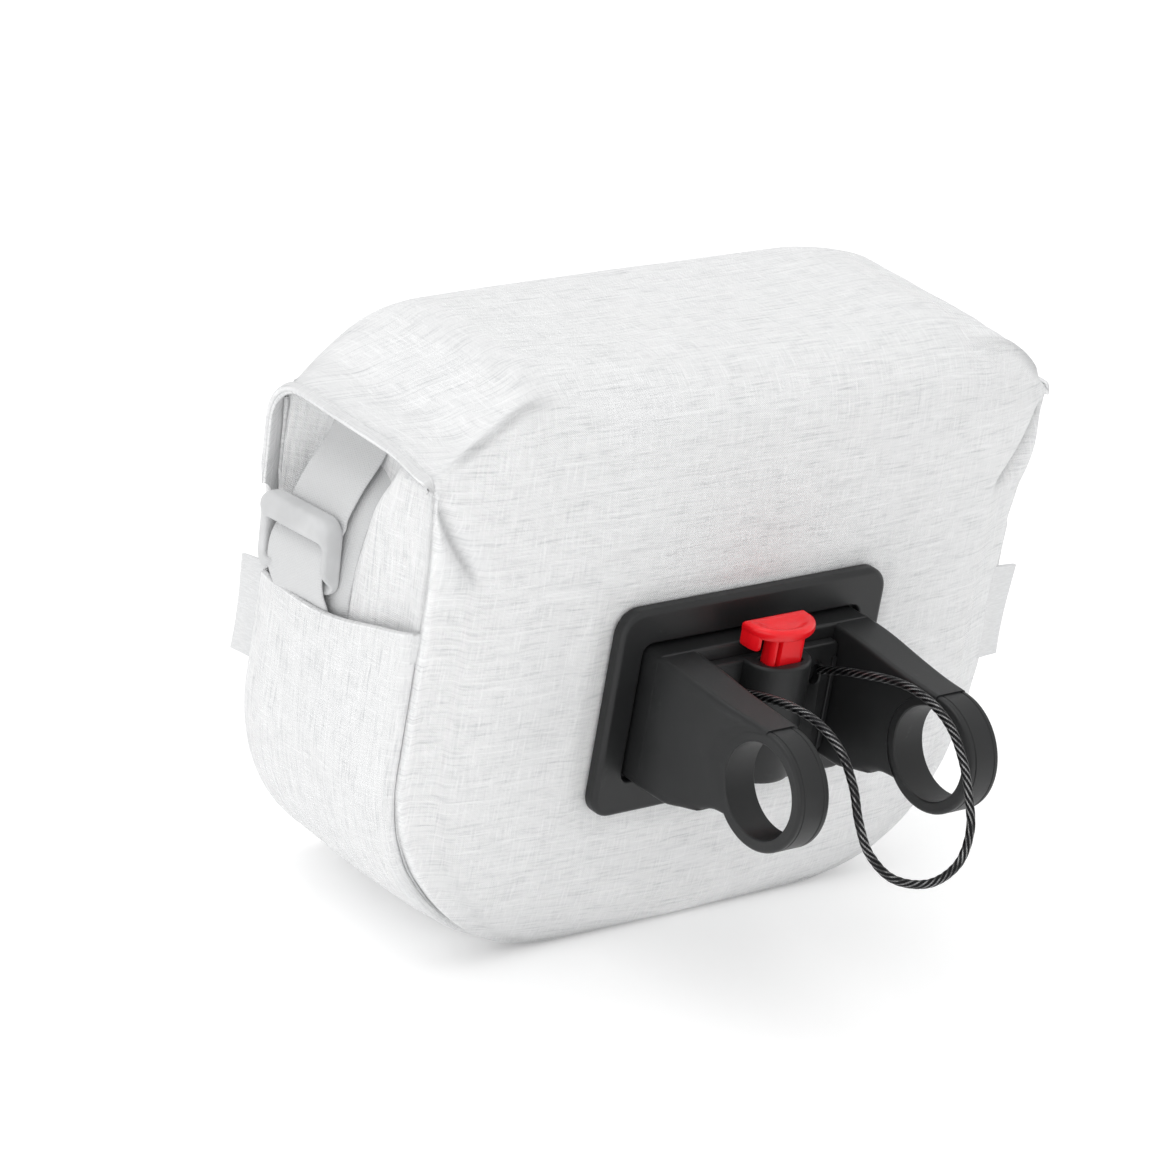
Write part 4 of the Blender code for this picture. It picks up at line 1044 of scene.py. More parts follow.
def straps():
    """Strap from under each lid end, behind the buckle's top bar and over its lower bar, with its tail."""
    strap = bpy.context.scene.strap_settings
    look = material_once("ribbed_webbing", webbing_material)
    middle = buckle_middle()
    lay = strap.thickness + strap.width / 2 * math.sin(strap.tilt) + 0.5 * mm
    lid_x = np.array([0.840, 0.885]) * LID_REACH
    start = np.stack([lid_x, lid_underside(lid_x) + 0.4 * mm - lay], axis=1)
    tall, deep = 2 * BUCKLE_HALF_HEIGHT, BUCKLE_FACE - BUCKLE_BACK
    in_buckle = [
        (BUCKLE_BACK - 0.20 * deep, middle + 0.50 * tall),
        (BUCKLE_BACK - 0.12 * deep, middle + 0.34 * tall),
        (BUCKLE_BACK + 0.30 * deep, middle + 0.20 * tall),
        (BUCKLE_BACK + 0.70 * deep, middle + 0.06 * tall),
        (BUCKLE_BACK + 0.86 * deep, middle - 0.10 * tall),
        (BUCKLE_BACK + 0.84 * deep, middle - 0.30 * tall),
        (BUCKLE_BACK + 0.62 * deep, middle - 0.50 * tall),
        (BUCKLE_BACK + 0.20 * deep, middle - 0.70 * tall),
        (BUCKLE_BACK - 0.12 * deep, middle - 0.92 * tall),
    ]
    end = np.array(in_buckle[0])
    run = [start[-1] + (end - start[-1]) * np.array(share) for share in ((0.22, 0.43), (0.72, 0.77))]
    path = route_through([*start, *run, *in_buckle], 0.9 * mm)
    made = []
    for name, side in (("left", -1), ("right", 1)):
        grid, uv = ribbon_grid(path, side, strap.width, strap.thickness)
        made.append(make_piece(
            f"strap_webbing_{name}", [{"grid": grid, "uv": uv, "flip": side < 0}], look, "webbing",
            replaces=(f"strap_{name}",), sharp=60,
        ))
        tail = route_through(TAIL_ROUTE, 1.2 * mm)
        grid, uv = ribbon_grid(tail, side, strap.width, strap.thickness, STRAP_Y - TAIL_BEHIND, TAIL_SINK)
        # The tail gets a faint painted shade over its whole face, for lying behind the strap.
        made.append(make_piece(
            f"strap_tail_webbing_{name}", [{"grid": grid, "uv": uv, "flip": side < 0, "shade": 0.04}], look,
            "webbing", replaces=(f"strap_tail_{name}",), sharp=60,
        ))
    return made


def from_right_middle(outline, height):
    """A closed outline turned round so that it starts at its rightmost side, at a height."""
    outline = outline[:-1]
    start = np.argmin(np.hypot(outline[:, 0] - outline[:, 0].max(), outline[:, 1] - height))
    outline = np.roll(outline, -start, axis=0)
    return np.concatenate([outline, outline[:1]])


def buckles():
    """Slide buckle: a rounded section carried round a frame, deep in its top bar and thin in its lower one.

    At each place round the frame the section is a flattened circle between the outer and the inner outline.
    """
    strap = bpy.context.scene.strap_settings
    look = material_once("buckle_plastic_grained", lambda: moulded_material(
        "buckle_plastic_grained", strap.buckle, 0.46, 0.03, 0.25))
    count = 160
    outer = resampled(rounded_outline(BUCKLE_HALF_WIDTH, BUCKLE_HALF_HEIGHT, 5.5 * mm), count)
    inner = resampled(rounded_outline(14.9 * mm, 6.6 * mm, 1.6 * mm), count)
    outer = from_right_middle(outer + np.array([2.2 * mm, 0]), 0)
    inner = from_right_middle(inner + np.array([1.4 * mm, -WINDOW_DROP]), -WINDOW_DROP)
    angle = np.linspace(0, FULL_TURN, 33)
    wide = np.sign(np.cos(angle)) * np.abs(np.cos(angle)) ** 0.6
    deep = np.sign(np.sin(angle)) * np.abs(np.sin(angle)) ** 0.6
    between_posts = smooth_step(17.2 * mm - np.abs(outer[:, 0]), 0, 1.6 * mm)
    lower = smooth_step(-outer[:, 1], 4 * mm, 10 * mm) * between_posts
    upper = smooth_step(outer[:, 1], 5 * mm, 11 * mm)
    face = BUCKLE_FACE - BUCKLE_BACK + 1.0 * mm * upper - 4.0 * mm * lower
    middle = (outer + inner) / 2
    half = (outer - inner) / 2
    pairs = middle[:, None] + half[:, None] * wide[None, :, None]
    x = BUCKLE_BACK + face[:, None] * (0.5 + 0.5 * deep)[None, :]
    bow = 1.0 * mm * (1 - (pairs[:, :, 0] / (19.75 * mm)) ** 2) * (deep > 0)
    tilt_cos, tilt_sin = math.cos(strap.tilt), math.sin(strap.tilt)
    y = STRAP_Y + pairs[:, :, 0] * tilt_cos + pairs[:, :, 1] * tilt_sin
    z = buckle_middle() + pairs[:, :, 1] * tilt_cos - pairs[:, :, 0] * tilt_sin
    made = []
    for name, side in (("left", -1), ("right", 1)):
        grid = np.stack([side * (x + bow), y, z], axis=2)
        made.append(make_piece(
            f"slide_buckle_{name}", [{"grid": grid, "flip": side > 0}], look, "buckle_plastic",
            replaces=(f"buckle_{name}",), sharp=60,
        ))
    return made


# The tape reaches a little below and above the label's solid. Its root is tucked into the seam.
LABEL_BELOW, LABEL_TALLER = 3 * mm, 7 * mm
LABEL_TUCK, RIGHT_LABEL_TUCK = 3.4 * mm, 6.2 * mm


def labels():
    """Folded tape: two layers that part a little at the seam and meet in a round fold, bent along it."""
    look = material_once("label_tape", label_material)
    made = []
    for name in ("label_left", "label_right"):
        low, high = (np.array(corner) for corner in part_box(name))
        size = high - low
        along_y = size[1] > size[0]
        reach, thin = (size[1], size[0]) if along_y else (size[0], size[1])
        t = np.linspace(0, 1, 14)
        fold = np.linspace(-math.pi / 2, math.pi / 2, 11)
        straight, half = reach - thin / 2, thin / 2
        outward = np.concatenate([t * straight, straight + half * np.cos(fold)[1:-1], t[::-1] * straight])
        beside = np.concatenate([-half + 0 * t, half * np.sin(fold)[1:-1], half + 0 * t])
        beside = beside * (1 - 0.25 * np.sin(np.clip(outward / reach, 0, 1) * math.pi))
        outline = np.stack([outward, beside], axis=1)
        outline = np.concatenate([outline, outline[:1]])
        height = np.linspace(0, 1, 30)[:, None]
        bend = 0.8 * mm * np.sin(height * math.pi * 1.1 + 0.4) * (outline[:, 0] / reach) ** 2
        away = outline[:, 0] + 0 * height
        thick = outline[:, 1] + bend
        narrower = 0.9 * mm * (away / reach) * (height - 0.5)
        z = low[2] - LABEL_BELOW + (size[2] + LABEL_TALLER) * height - narrower
        if along_y:
            out = away - LABEL_TUCK
            grid = np.stack([(low[0] + high[0]) / 2 + thick - 0.3 * out, low[1] + 0.9 * out, z], axis=2)
        else:
            grid = np.stack([low[0] + away - RIGHT_LABEL_TUCK, (low[1] + high[1]) / 2 + thick, z], axis=2)
        around = run_lengths(outline)
        uv = np.stack(np.broadcast_arrays(around[None, :], height * size[2]), axis=2)
        uv = np.concatenate([uv[:1], uv, uv[-1:]])
        made.append(make_piece(
            f"folded_{name}", [{"grid": closed(grid), "uv": uv, "flip": along_y}], look, "label_cloth",
            replaces=(name,), sharp=50,
        ))
    return made


# Plate, bracket, latch and button


PLATE_FACE = -58.3 * mm
BLOCK_FACE = -65.3 * mm
BAR_Y = -117.3 * mm
BAR_Z = 89 * mm
PANEL_BACK = -65.6 * mm
PANEL_FRONT = -69.1 * mm
PANEL_Z = 85.5 * mm
TOWER_TOP = 108.6 * mm
ARM_END_RADIUS = 19.0 * mm
SOCKET_MIDDLE = np.array([-0.5 * mm, -73.7 * mm])


def round_over(size, count=6):
    """Inset and advance of a quarter round, with a close row before and after it."""
    angle = np.linspace(0, math.pi / 2, count)
    inset = size * (1 - np.cos(angle))
    advance = size * np.sin(angle)
    return np.concatenate([[0.0], inset, [size * 1.06]]), np.concatenate([[-size * 0.06], advance, [size]])


def black_look():
    """The one black plastic of the plate, the bracket, the latch and the collars."""
    bracket = bpy.context.scene.bracket_settings
    return material_once("black_plastic_grained", lambda: moulded_material(
        "black_plastic_grained", bracket.black, 0.44, 0.035, 0.5))


def mount_plate():
    """Plate with a rounded rim, a low inner step and a window for the block: rings of one rounded outline."""
    bracket = bpy.context.scene.bracket_settings
    half_width, half_height = 57.5 * mm, 37.25 * mm
    corner, bevel = bracket.plate_corner, bracket.plate_bevel
    inner_edge = 0.4 * mm
    back = rounded_outline(half_width - inner_edge, half_height - inner_edge, corner)
    rings = [standing(back, PLATE_FACE + 5 * mm)]
    rings.append(standing(rounded_outline(half_width, half_height, corner), PLATE_FACE + 4.6 * mm))
    for inset, advance in zip(*round_over(bevel)):
        outline = rounded_outline(half_width - inset, half_height - inset, corner - inset)
        rings.append(standing(outline, PLATE_FACE + bevel - advance))
    window = (47.2 * mm, 25 * mm)
    # how much wider than the window the step is, and how deep it lies behind the face, in millimetres
    step = ((0.75, 0.0), (0.7, 0.0), (0.42, 0.08), (0.18, 0.27), (0.05, 0.5), (0.0, 0.75), (0.0, 3.0))
    for grow, deep in step:
        outline = rounded_outline(window[0] + grow * mm, window[1] + grow * mm, (3.5 + grow) * mm)
        rings.append(standing(outline, PLATE_FACE + deep * mm))
    grid = np.array(rings)
    grid[:, :, 2] += PLATE_Z
    patches = [{"grid": closed(grid)}]
    return make_piece(
        "quick_release_plate", patches, black_look(), "black_plastic", replaces=("mount_plate",),
    )


def collar_face(z, radius):
    """How far out from the plate's side the cylinder round the bar lies at a height."""
    lift = np.clip(np.abs(z - BAR_Z), 0, radius)
    return BAR_Y + np.maximum(np.sqrt(np.maximum(radius**2 - lift**2, 0)), 1.0 * mm)


def arm_rows(side):
    """One arm: rounded sections from the block to the collar, whose end follows the collar's cylinder."""
    bracket = bpy.context.scene.bracket_settings
    near, bend, far = np.linspace(-0.05, 0.17, 8), np.linspace(0.18, 0.32, 16), np.linspace(0.34, 1.0, 26)
    reach = np.concatenate([near, bend, far])
    outer = curve_through(reach, [-0.1, 0.12, 0.60, 0.90, 1.0], [46.0, 45.9, 44.6, 43.5, 43.5]) * mm
    low = curve_through(reach, [-0.1, 0.21, 0.42, 0.66, 0.83, 1.0], [65.6, 65.6, 68.2, 71.6, 73.4, 74.0]) * mm
    high = curve_through(reach, [-0.1, 0.10, 0.70, 1.0], [112.5, 112.4, 110.2, 109.8]) * mm
    inner = np.full_like(outer, 30 * mm)
    rows = []
    for i, share in enumerate(reach):
        half_x, half_z = (outer[i] - inner[i]) / 2, (high[i] - low[i]) / 2
        outline = resampled(rounded_outline(half_x, half_z, bracket.arm_corner, 9), 180)
        x = outline[:, 0] + (outer[i] + inner[i]) / 2
        z = outline[:, 1] + (high[i] + low[i]) / 2
        end = collar_face(z, ARM_END_RADIUS)
        rows.append(np.stack([side * x, BLOCK_FACE + (end - BLOCK_FACE) * share, z], axis=1))
    last = rows[-1]
    middle = last[:-1].mean(axis=0)
    for scale in np.linspace(0.94, 0.06, 14):
        x = middle[0] + (last[:, 0] - middle[0]) * scale
        z = middle[2] + (last[:, 2] - middle[2]) * scale
        rows.append(np.stack([x, collar_face(z, ARM_END_RADIUS), z], axis=1))
    return np.array(rows)


def bracket_body():
    """Block in the plate's window with a rounded face, and the two arms that reach to the collars."""
    half_width, half_height, corner, rounding = 46 * mm, 23.8 * mm, 2.6 * mm, 1.1 * mm
    rings = [standing(rounded_outline(half_width, half_height, corner), PLATE_FACE + 2.6 * mm)]
    for inset, advance in zip(*round_over(rounding)):
        outline = rounded_outline(half_width - inset, half_height - inset, corner - inset)
        rings.append(standing(outline, BLOCK_FACE + rounding - advance))
    grid = np.array(rings)
    grid[:, :, 2] += PLATE_Z
    patches = [{"grid": closed(grid)}]
    for side in (-1, 1):
        rows = arm_rows(side)
        patches.append({"grid": closed(rows), "flip": side < 0})
    return make_piece("bracket_with_arms", patches, black_look(), "black_plastic", replaces=("bracket",))


def d_outline(half_width, back, depth, count=96):
    """Straight at the back and round at the front, anticlockwise seen from above, evenly sampled."""
    angle = np.linspace(0, -math.pi, 60)
    round_x = half_width * np.cos(angle)
    round_y = back - depth * (0.25 - 0.75 * np.sin(angle))
    line = np.stack([round_x, round_y], axis=1)
    line = np.concatenate([[[half_width, back]], line, [[-half_width, back]], [[half_width, back]]])
    return resampled(line, count)


def shrunk(outline, inset):
    """An outline drawn in towards its middle by about the inset on each side."""
    low, high = outline.min(axis=0), outline.max(axis=0)
    middle, half = (low + high) / 2, (high - low) / 2
    return middle + (outline - middle) * (half - inset) / half


def socket_outline(half_width, half_depth, radius, count=96):
    """A rounded rectangle sampled clockwise from its right rear corner, to match the D outline."""
    line = rounded_outline(half_width, half_depth, radius)[::-1]
    start = np.argmax(line[:-1, 0] + line[:-1, 1])
    line = np.concatenate([line[:-1][start:], line[:-1][: start + 1]])
    return resampled(line, count)


def latch_tower():
    """Half-round column with a rounded rim and a socket, on a recessed panel with an oval hole."""
    patches = []
    root = PANEL_FRONT + 1.75 * mm
    outline = d_outline(12.7 * mm, root, 14.4 * mm)
    socket = socket_outline(7.6 * mm, 3.9 * mm, 2.7 * mm) + SOCKET_MIDDLE
    rings = []
    for inset, height in ((2.5, 66), (1.0, 66.5)):
        rings.append(lying(shrunk(outline, inset * mm), height * mm))
    rings.append(lying(outline, 68.5 * mm))
    rings.append(lying(outline, 90 * mm))
    rounding = 1.3 * mm
    for inset, advance in zip(*round_over(rounding)):
        rings.append(lying(shrunk(outline, inset), TOWER_TOP - rounding + advance))
    rings.append(lying(socket + (socket - SOCKET_MIDDLE) * 0.06, TOWER_TOP))
    rings.append(lying(socket, TOWER_TOP - 0.4 * mm))
    rings.append(lying(socket, 94.8 * mm))
    patches.append({"grid": closed(np.array(rings)), "flip": True})
    panel = resampled(rounded_outline(29.6 * mm, 22.5 * mm, 1.2 * mm), 120)
    hole = resampled(rounded_outline(2.1 * mm, 3.7 * mm, 2.0 * mm), 120)
    hole_at = np.array([21.5 * mm, 97 * mm - PANEL_Z])
    panel_middle = (0, PANEL_Z)
    rows = [standing(panel, PANEL_BACK, panel_middle)]
    bevel = 0.7 * mm
    for inset, advance in zip(*round_over(bevel)):
        rows.append(standing(panel * (1 - inset / (24 * mm)), PANEL_FRONT + bevel - advance, panel_middle))
    rows.append(standing(hole * 1.2 + hole_at, PANEL_FRONT, panel_middle))
    rows.append(standing(hole + hole_at, PANEL_FRONT + 0.4 * mm, panel_middle))
    rows.append(standing(hole + hole_at, PANEL_BACK - 0.1 * mm, panel_middle))
    patches.append({"grid": closed(np.array(rows))})
    bar = rounded_outline(0.9 * mm, 17 * mm, 0.8 * mm, 5)
    for side in (-1, 1):
        rib = []
        for inset, proud in ((0.0, 0.5 * mm), (0.0, -0.9 * mm), (0.25, -1.2 * mm)):
            rib.append(standing(bar * (1 - inset), PANEL_FRONT + proud, (side * 28.2 * mm, 86 * mm)))
        patches.append({"grid": closed(np.array(rib))})
    return make_piece(
        "latch_column_and_panel", patches, black_look(), "black_plastic", replaces=("latch_tower",),
    )


def release_button():
    """Thin cap of D outline with a raised front rim, a stem with one deep groove and a leg at the left."""
    bracket = bpy.context.scene.bracket_settings
    look = material_once("button_plastic_gloss", lambda: moulded_material(
        "button_plastic_gloss", bracket.red, 0.34, 0.008, 0.03, coat=0.15))
    under, top, rounding = 117.3 * mm, 121.3 * mm, 1.5 * mm
    back = -65.9 * mm
    outline = d_outline(13.2 * mm, back, 13.9 * mm)
    rings = [lying(shrunk(outline, 1.6 * mm), under)]
    rings.append(lying(shrunk(outline, 0.7 * mm), under + 0.15 * mm))
    rings.append(lying(outline, under + 1.2 * mm))
    for inset, advance in zip(*round_over(rounding, 8)):
        rings.append(lying(shrunk(outline, inset), top - rounding + advance))
    dish = shrunk(outline, 2.1 * mm)
    rings.append(lying(dish, top))
    centre = np.array([0.0, back - 6.4 * mm])
    for share in np.linspace(0, 1, 13)[1:]:
        ring = centre + (dish - centre) * (1 - share * 0.92)
        ahead = smooth_step(back - ring[:, 1], 1.5 * mm, 6 * mm)
        rings.append(lying(ring, top - 1.2 * mm * smooth_step(share, 0, 0.5) * (0.25 + 0.75 * ahead)))
    patches = [{"grid": closed(np.array(rings)), "flip": True}]
    stem = socket_outline(7.2 * mm, 3.5 * mm, 2.4 * mm, 240) + SOCKET_MIDDLE
    in_slot = 1 - smooth_step(np.abs(stem[:, 0] + 5.1 * mm), 0.5 * mm, 0.95 * mm)
    slot = in_slot * (stem[:, 1] < SOCKET_MIDDLE[1])
    slotted = stem + np.stack([0 * slot, slot * 3 * mm], axis=1)
    stem_rings = []
    for scale, height in ((0.94, 100.6), (1.0, 100.9), (1.0, 108), (1.0, 112), (1.0, 118.4)):
        stem_rings.append(lying(SOCKET_MIDDLE + (slotted - SOCKET_MIDDLE) * scale, height * mm))
    patches.append({"grid": closed(np.array(stem_rings)), "flip": True})
    leg = shrunk(outline, 0.1 * mm)
    leg = leg[leg[:, 0] < -10.1 * mm]
    leg = np.stack([leg[:, 0], np.maximum(leg[:, 1], back - 7.8 * mm)], axis=1)
    leg = resampled(np.concatenate([leg, leg[:1]]), 60)
    hub = (leg.min(axis=0) + leg.max(axis=0)) / 2
    leg_rings = []
    for scale, z in ((0.72, 112.8), (0.88, 113.0), (0.97, 113.6), (1.0, 114.4), (1.0, 117.5), (0.96, 118.8)):
        leg_rings.append(lying(hub + (leg - hub) * scale, z * mm))
    patches.append({"grid": closed(np.array(leg_rings)), "flip": True})
    return make_piece(
        "push_button_red", patches, look, "red_plastic", body="button", replaces=("release_button",),
    )


def clamp_collars():
    """Ring round the bar: a section with rounded rims and two fine grooves, turned about the bar's axis."""
    bracket = bpy.context.scene.bracket_settings
    edge = bracket.collar_edge
    bore, radius, wide, start = 16 * mm, 20.3 * mm, 13 * mm, 30.5 * mm
    quarter = np.linspace(0, math.pi / 2, 7)
    section = [(0, bore + 0.4 * mm), (0, radius - edge - 0.1 * mm)]
    section += [(edge * (1 - math.cos(a)), radius - edge * (1 - math.sin(a))) for a in quarter]
    groove_profile = ((-0.35 * mm, 0), (-0.12 * mm, 0.28 * mm), (0.12 * mm, 0.28 * mm), (0.35 * mm, 0))
    for groove in (2.6 * mm, wide - 2.2 * mm):
        section += [(groove + aside, radius - deep) for aside, deep in groove_profile]
    section += [(wide - edge * (1 - math.sin(a)), radius - edge * (1 - math.cos(a))) for a in quarter]
    section += [(wide, radius - edge - 0.1 * mm), (wide, bore + 0.4 * mm), (wide - 0.4 * mm, bore)]
    section += [(0.4 * mm, bore), (0, bore + 0.4 * mm)]
    section = np.array(section)
    angle = np.linspace(0, FULL_TURN, 129)
    made = []
    for name, side in (("left", -1), ("right", 1)):
        x = side * (start + section[:, 0])[None, :] + 0 * angle[:, None]
        y = BAR_Y + section[:, 1][None, :] * np.cos(angle)[:, None]
        z = BAR_Z + section[:, 1][None, :] * np.sin(angle)[:, None]
        patches = [{"grid": np.stack([x, y, z], axis=2), "flip": side > 0}]
        made.append(make_piece(
            f"bar_collar_{name}", patches, black_look(), "black_plastic", replaces=(f"clamp_collar_{name}",),
        ))
    return made


# The right half of the stay cable's route, in millimetres
CABLE_HALF = np.array([
    (22, -70.0, 99), (22.6, -84, 104.5), (24, -104, 110), (24, -119, 110.6), (24, -131, 106.5),
    (24, -139.5, 98), (24, -145, 88), (22, -150.5, 78.5), (14, -155.5, 70.5), (0, -158, 67.5),
]) * mm


def stay_cable():
    """Stranded cable: a circle carried along the route and lobed by six strands that wind round it."""
    bracket = bpy.context.scene.bracket_settings
    look = material_once("cable_braid", braid_material)
    route = np.concatenate([CABLE_HALF * np.array([-1, 1, 1]), CABLE_HALF[-2::-1]])
    line = route_through(route, 0.45 * mm)
    run = run_lengths(line)
    ahead = np.gradient(line, axis=0)
    ahead /= np.linalg.norm(ahead, axis=1, keepdims=True)
    side = np.cross(ahead, np.array([0.35, 0.2, 1.0]))
    side /= np.linalg.norm(side, axis=1, keepdims=True)
    other = np.cross(ahead, side)
    angle = np.linspace(0, FULL_TURN, 43)[None, :]
    wind = 6 * angle + run[:, None] * (FULL_TURN / (3.1 * mm))
    lobes = np.abs(np.cos(wind / 2))
    radius = bracket.cable * (0.84 + 0.16 * lobes)
    ring = line[:, None] + side[:, None] * (radius * np.cos(angle))[:, :, None]
    ring = ring + other[:, None] * (radius * np.sin(angle))[:, :, None]
    uv = np.stack(np.broadcast_arrays(angle / FULL_TURN, run[:, None]), axis=2)
    uv = np.concatenate([uv[:1], uv, uv[-1:]])
    # The strands' lobes set the crease attribute, from which the cable's material paints its glint along the
    # crests.
    shade = np.concatenate([lobes[:1], lobes, lobes[-1:]])
    return make_piece(
        "stay_cable_strands", [{"grid": closed(ring), "uv": uv, "shade": 1 - shade}], look, "braided_steel",
        replaces=("stay_cable",), sharp=70,
    )


# Studio


FLOOR_REACH = 6
FLOOR_DROP = 0.2 * mm
SENSOR_WIDTH = 36
FOCAL_PIXELS = 5600
PHOTO_PIXELS = 1160


def aimed(right, up, back, place):
    """The matrix that stands an object at a place, from its three unit directions."""
    return Matrix([[right[i], up[i], back[i], place[i]] for i in range(3)] + [[0, 0, 0, 1]])


def stage():
    """Floor, soft lights and the camera at the photograph's angle."""
    studio = bpy.context.scene.studio_settings
    t = np.linspace(-1, 1, 9)
    x, y = np.meshgrid(t * FLOOR_REACH, t * FLOOR_REACH)
    data = bpy.data.meshes.new("studio_floor")
    points = np.stack([x, y, 0 * x - FLOOR_DROP], axis=2).reshape(-1, 3)
    data.from_pydata(points.tolist(), [], grid_corners(len(t), len(t), 0).tolist())
    data.materials.append(floor_material())
    floor = bpy.data.objects.new("studio_floor", data)
    bpy.context.scene.collection.objects.link(floor)

    world = bpy.data.worlds.new("studio_sky")
    world.use_nodes = True
    background = world.node_tree.nodes["Background"]
    background.inputs["Color"].default_value = (1, 1, 1, 1)
    background.inputs["Strength"].default_value = studio.sky
    bpy.context.scene.world = world
    bpy.context.scene.view_settings.view_transform = "Standard"

    for name, power, size, place, aim in (
        ("key_light", studio.key, 1.4, (-0.5, 0.3, 2.0), (0, 0, 0.1)),
        ("fill_light", studio.fill, 1.2, (-1.5, -0.95, 0.55), (0, -0.05, 0.1)),
    ):
        lamp = bpy.data.lights.new(name, "AREA")
        lamp.energy = power
        lamp.size = size
        light = bpy.data.objects.new(name, lamp)
        bpy.context.scene.collection.objects.link(light)
        away = np.array(place, float) - np.array(aim, float)
        away /= np.linalg.norm(away)
        across = np.cross([0, 0, 1.0], away)
        across /= np.linalg.norm(across)
        light.matrix_world = aimed(across, np.cross(away, across), away, place)

    lens = bpy.data.cameras.new("photo_camera")
    lens.sensor_width = SENSOR_WIDTH
    lens.lens = FOCAL_PIXELS * SENSOR_WIDTH / PHOTO_PIXELS
    lens.clip_start, lens.clip_end = 0.05, 50
    camera = bpy.data.objects.new("photo_camera", lens)
    bpy.context.scene.collection.objects.link(camera)
    right = np.array([0.769713, -0.618654, 0.157510])
    down = np.array([-0.141084, -0.405477, -0.903152])
    ahead = np.array([0.622605, 0.672946, -0.399383])
    camera.matrix_world = aimed(right, -down, -ahead, (-1.18673, -1.25412, 0.85240))
    bpy.context.scene.camera = camera


# Add-on


class MakePanelAndLid(bpy.types.Operator):
    """Make the rear panel that runs on over the top as the lid"""

    bl_idname = "handlebar_bag.panel_and_lid"
    bl_label = "Panel and lid"

    def execute(self, context):
        main_panel()
        return {"FINISHED"}


class MakeSideStrip(bpy.types.Operator):
    """Make the strip of cloth down the sides and under the bag"""

    bl_idname = "handlebar_bag.side_strip"
    bl_label = "Side strip"

    def execute(self, context):
        side_strip()
        return {"FINISHED"}


class MakeFrontPanel(bpy.types.Operator):
    """Make the front panel behind the lid's lip"""

    bl_idname = "handlebar_bag.front_panel"
    bl_label = "Front panel"

    def execute(self, context):
        front_panel()
        return {"FINISHED"}


class MakeHems(bpy.types.Operator):
    """Make the folded hems of the lid"""

    bl_idname = "handlebar_bag.hems"
    bl_label = "Lid hems"

    def execute(self, context):
        hem_bands()
        return {"FINISHED"}


class MakePockets(bpy.types.Operator):
    """Make the two side pockets"""

    bl_idname = "handlebar_bag.pockets"
    bl_label = "Side pockets"

    def execute(self, context):
        side_pocket("left", -1)
        side_pocket("right", 1)
        return {"FINISHED"}


class MakeStraps(bpy.types.Operator):
    """Make the straps and their tails"""

    bl_idname = "handlebar_bag.straps"
    bl_label = "Straps"

    def execute(self, context):
        straps()
        return {"FINISHED"}


class MakeBuckles(bpy.types.Operator):
    """Make the slide buckles"""

    bl_idname = "handlebar_bag.buckles"
    bl_label = "Buckles"

    def execute(self, context):
        buckles()
        return {"FINISHED"}


class MakeLabels(bpy.types.Operator):
    """Make the bare folded labels in the side seams"""

    bl_idname = "handlebar_bag.labels"
    bl_label = "Labels"

    def execute(self, context):
        labels()
        return {"FINISHED"}


class MakePlate(bpy.types.Operator):
    """Make the plate on the rear panel"""

    bl_idname = "handlebar_bag.plate"
    bl_label = "Plate"

    def execute(self, context):
        mount_plate()
        return {"FINISHED"}


class MakeBracket(bpy.types.Operator):
    """Make the bracket's block and arms"""

    bl_idname = "handlebar_bag.bracket"
    bl_label = "Bracket"

    def execute(self, context):
        bracket_body()
        return {"FINISHED"}


class MakeLatch(bpy.types.Operator):
    """Make the latch column and its panel"""

    bl_idname = "handlebar_bag.latch"
    bl_label = "Latch"

    def execute(self, context):
        latch_tower()
        return {"FINISHED"}


class MakeButton(bpy.types.Operator):
    """Make the red release button"""

    bl_idname = "handlebar_bag.button"
    bl_label = "Release button"

    def execute(self, context):
        release_button()
        return {"FINISHED"}


class MakeCollars(bpy.types.Operator):
    """Make the two collars that grip the bar"""

    bl_idname = "handlebar_bag.collars"
    bl_label = "Bar collars"

    def execute(self, context):
        clamp_collars()
        return {"FINISHED"}


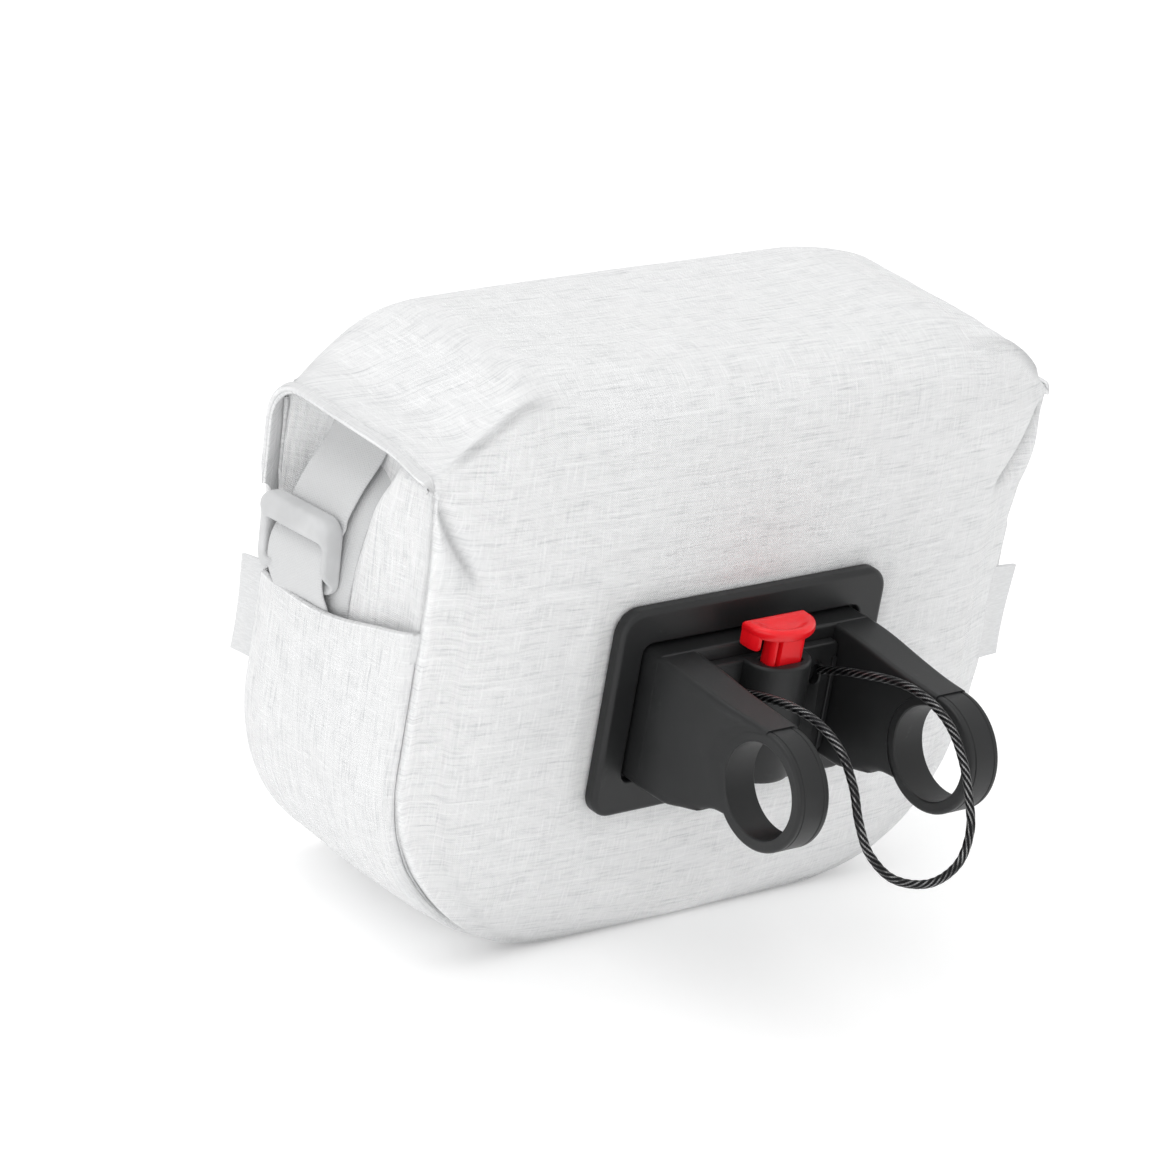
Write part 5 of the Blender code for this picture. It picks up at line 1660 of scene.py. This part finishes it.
class MakeCable(bpy.types.Operator):
    """Make the braided stay cable"""

    bl_idname = "handlebar_bag.cable"
    bl_label = "Stay cable"

    def execute(self, context):
        stay_cable()
        return {"FINISHED"}


class MakeStage(bpy.types.Operator):
    """Make the floor, the lights and the camera"""

    bl_idname = "handlebar_bag.stage"
    bl_label = "Studio"

    def execute(self, context):
        stage()
        return {"FINISHED"}


STEPS = (
    MakeStage, MakePanelAndLid, MakeSideStrip, MakeFrontPanel, MakeHems, MakePockets, MakeStraps, MakeBuckles,
    MakeLabels, MakePlate, MakeBracket, MakeLatch, MakeButton, MakeCollars, MakeCable,
)
SETTINGS = {
    "bag_settings": BagSettings,
    "strap_settings": StrapSettings,
    "bracket_settings": BracketSettings,
    "studio_settings": StudioSettings,
}


class HandlebarBagPanel(bpy.types.Panel):
    """Settings and build steps of the handlebar bag"""

    bl_idname = "VIEW3D_PT_handlebar_bag"
    bl_label = "Handlebar Bag"
    bl_space_type = "VIEW_3D"
    bl_region_type = "UI"
    bl_category = "Handlebar Bag"

    def draw(self, context):
        for name, group in SETTINGS.items():
            box = self.layout.box()
            for setting in group.__annotations__:
                box.prop(getattr(context.scene, name), setting)
        for step in STEPS:
            self.layout.operator(step.bl_idname)


def register():
    for group in SETTINGS.values():
        bpy.utils.register_class(group)
    for name, group in SETTINGS.items():
        setattr(bpy.types.Scene, name, PointerProperty(type=group))
    for step in STEPS:
        bpy.utils.register_class(step)
    bpy.utils.register_class(HandlebarBagPanel)


def unregister():
    bpy.utils.unregister_class(HandlebarBagPanel)
    for step in reversed(STEPS):
        bpy.utils.unregister_class(step)
    for name in SETTINGS:
        delattr(bpy.types.Scene, name)
    for group in reversed(SETTINGS.values()):
        bpy.utils.unregister_class(group)


def corners(bounds):
    """The two corners of a box as plain numbers."""
    return [[float(number) for number in corner] for corner in bounds]


def main():
    """Builds everything in order."""
    register()
    for step in STEPS:
        folder, operator = step.bl_idname.split(".")
        getattr(getattr(bpy.ops, folder), operator)()


if __name__ == "__main__":
    main()
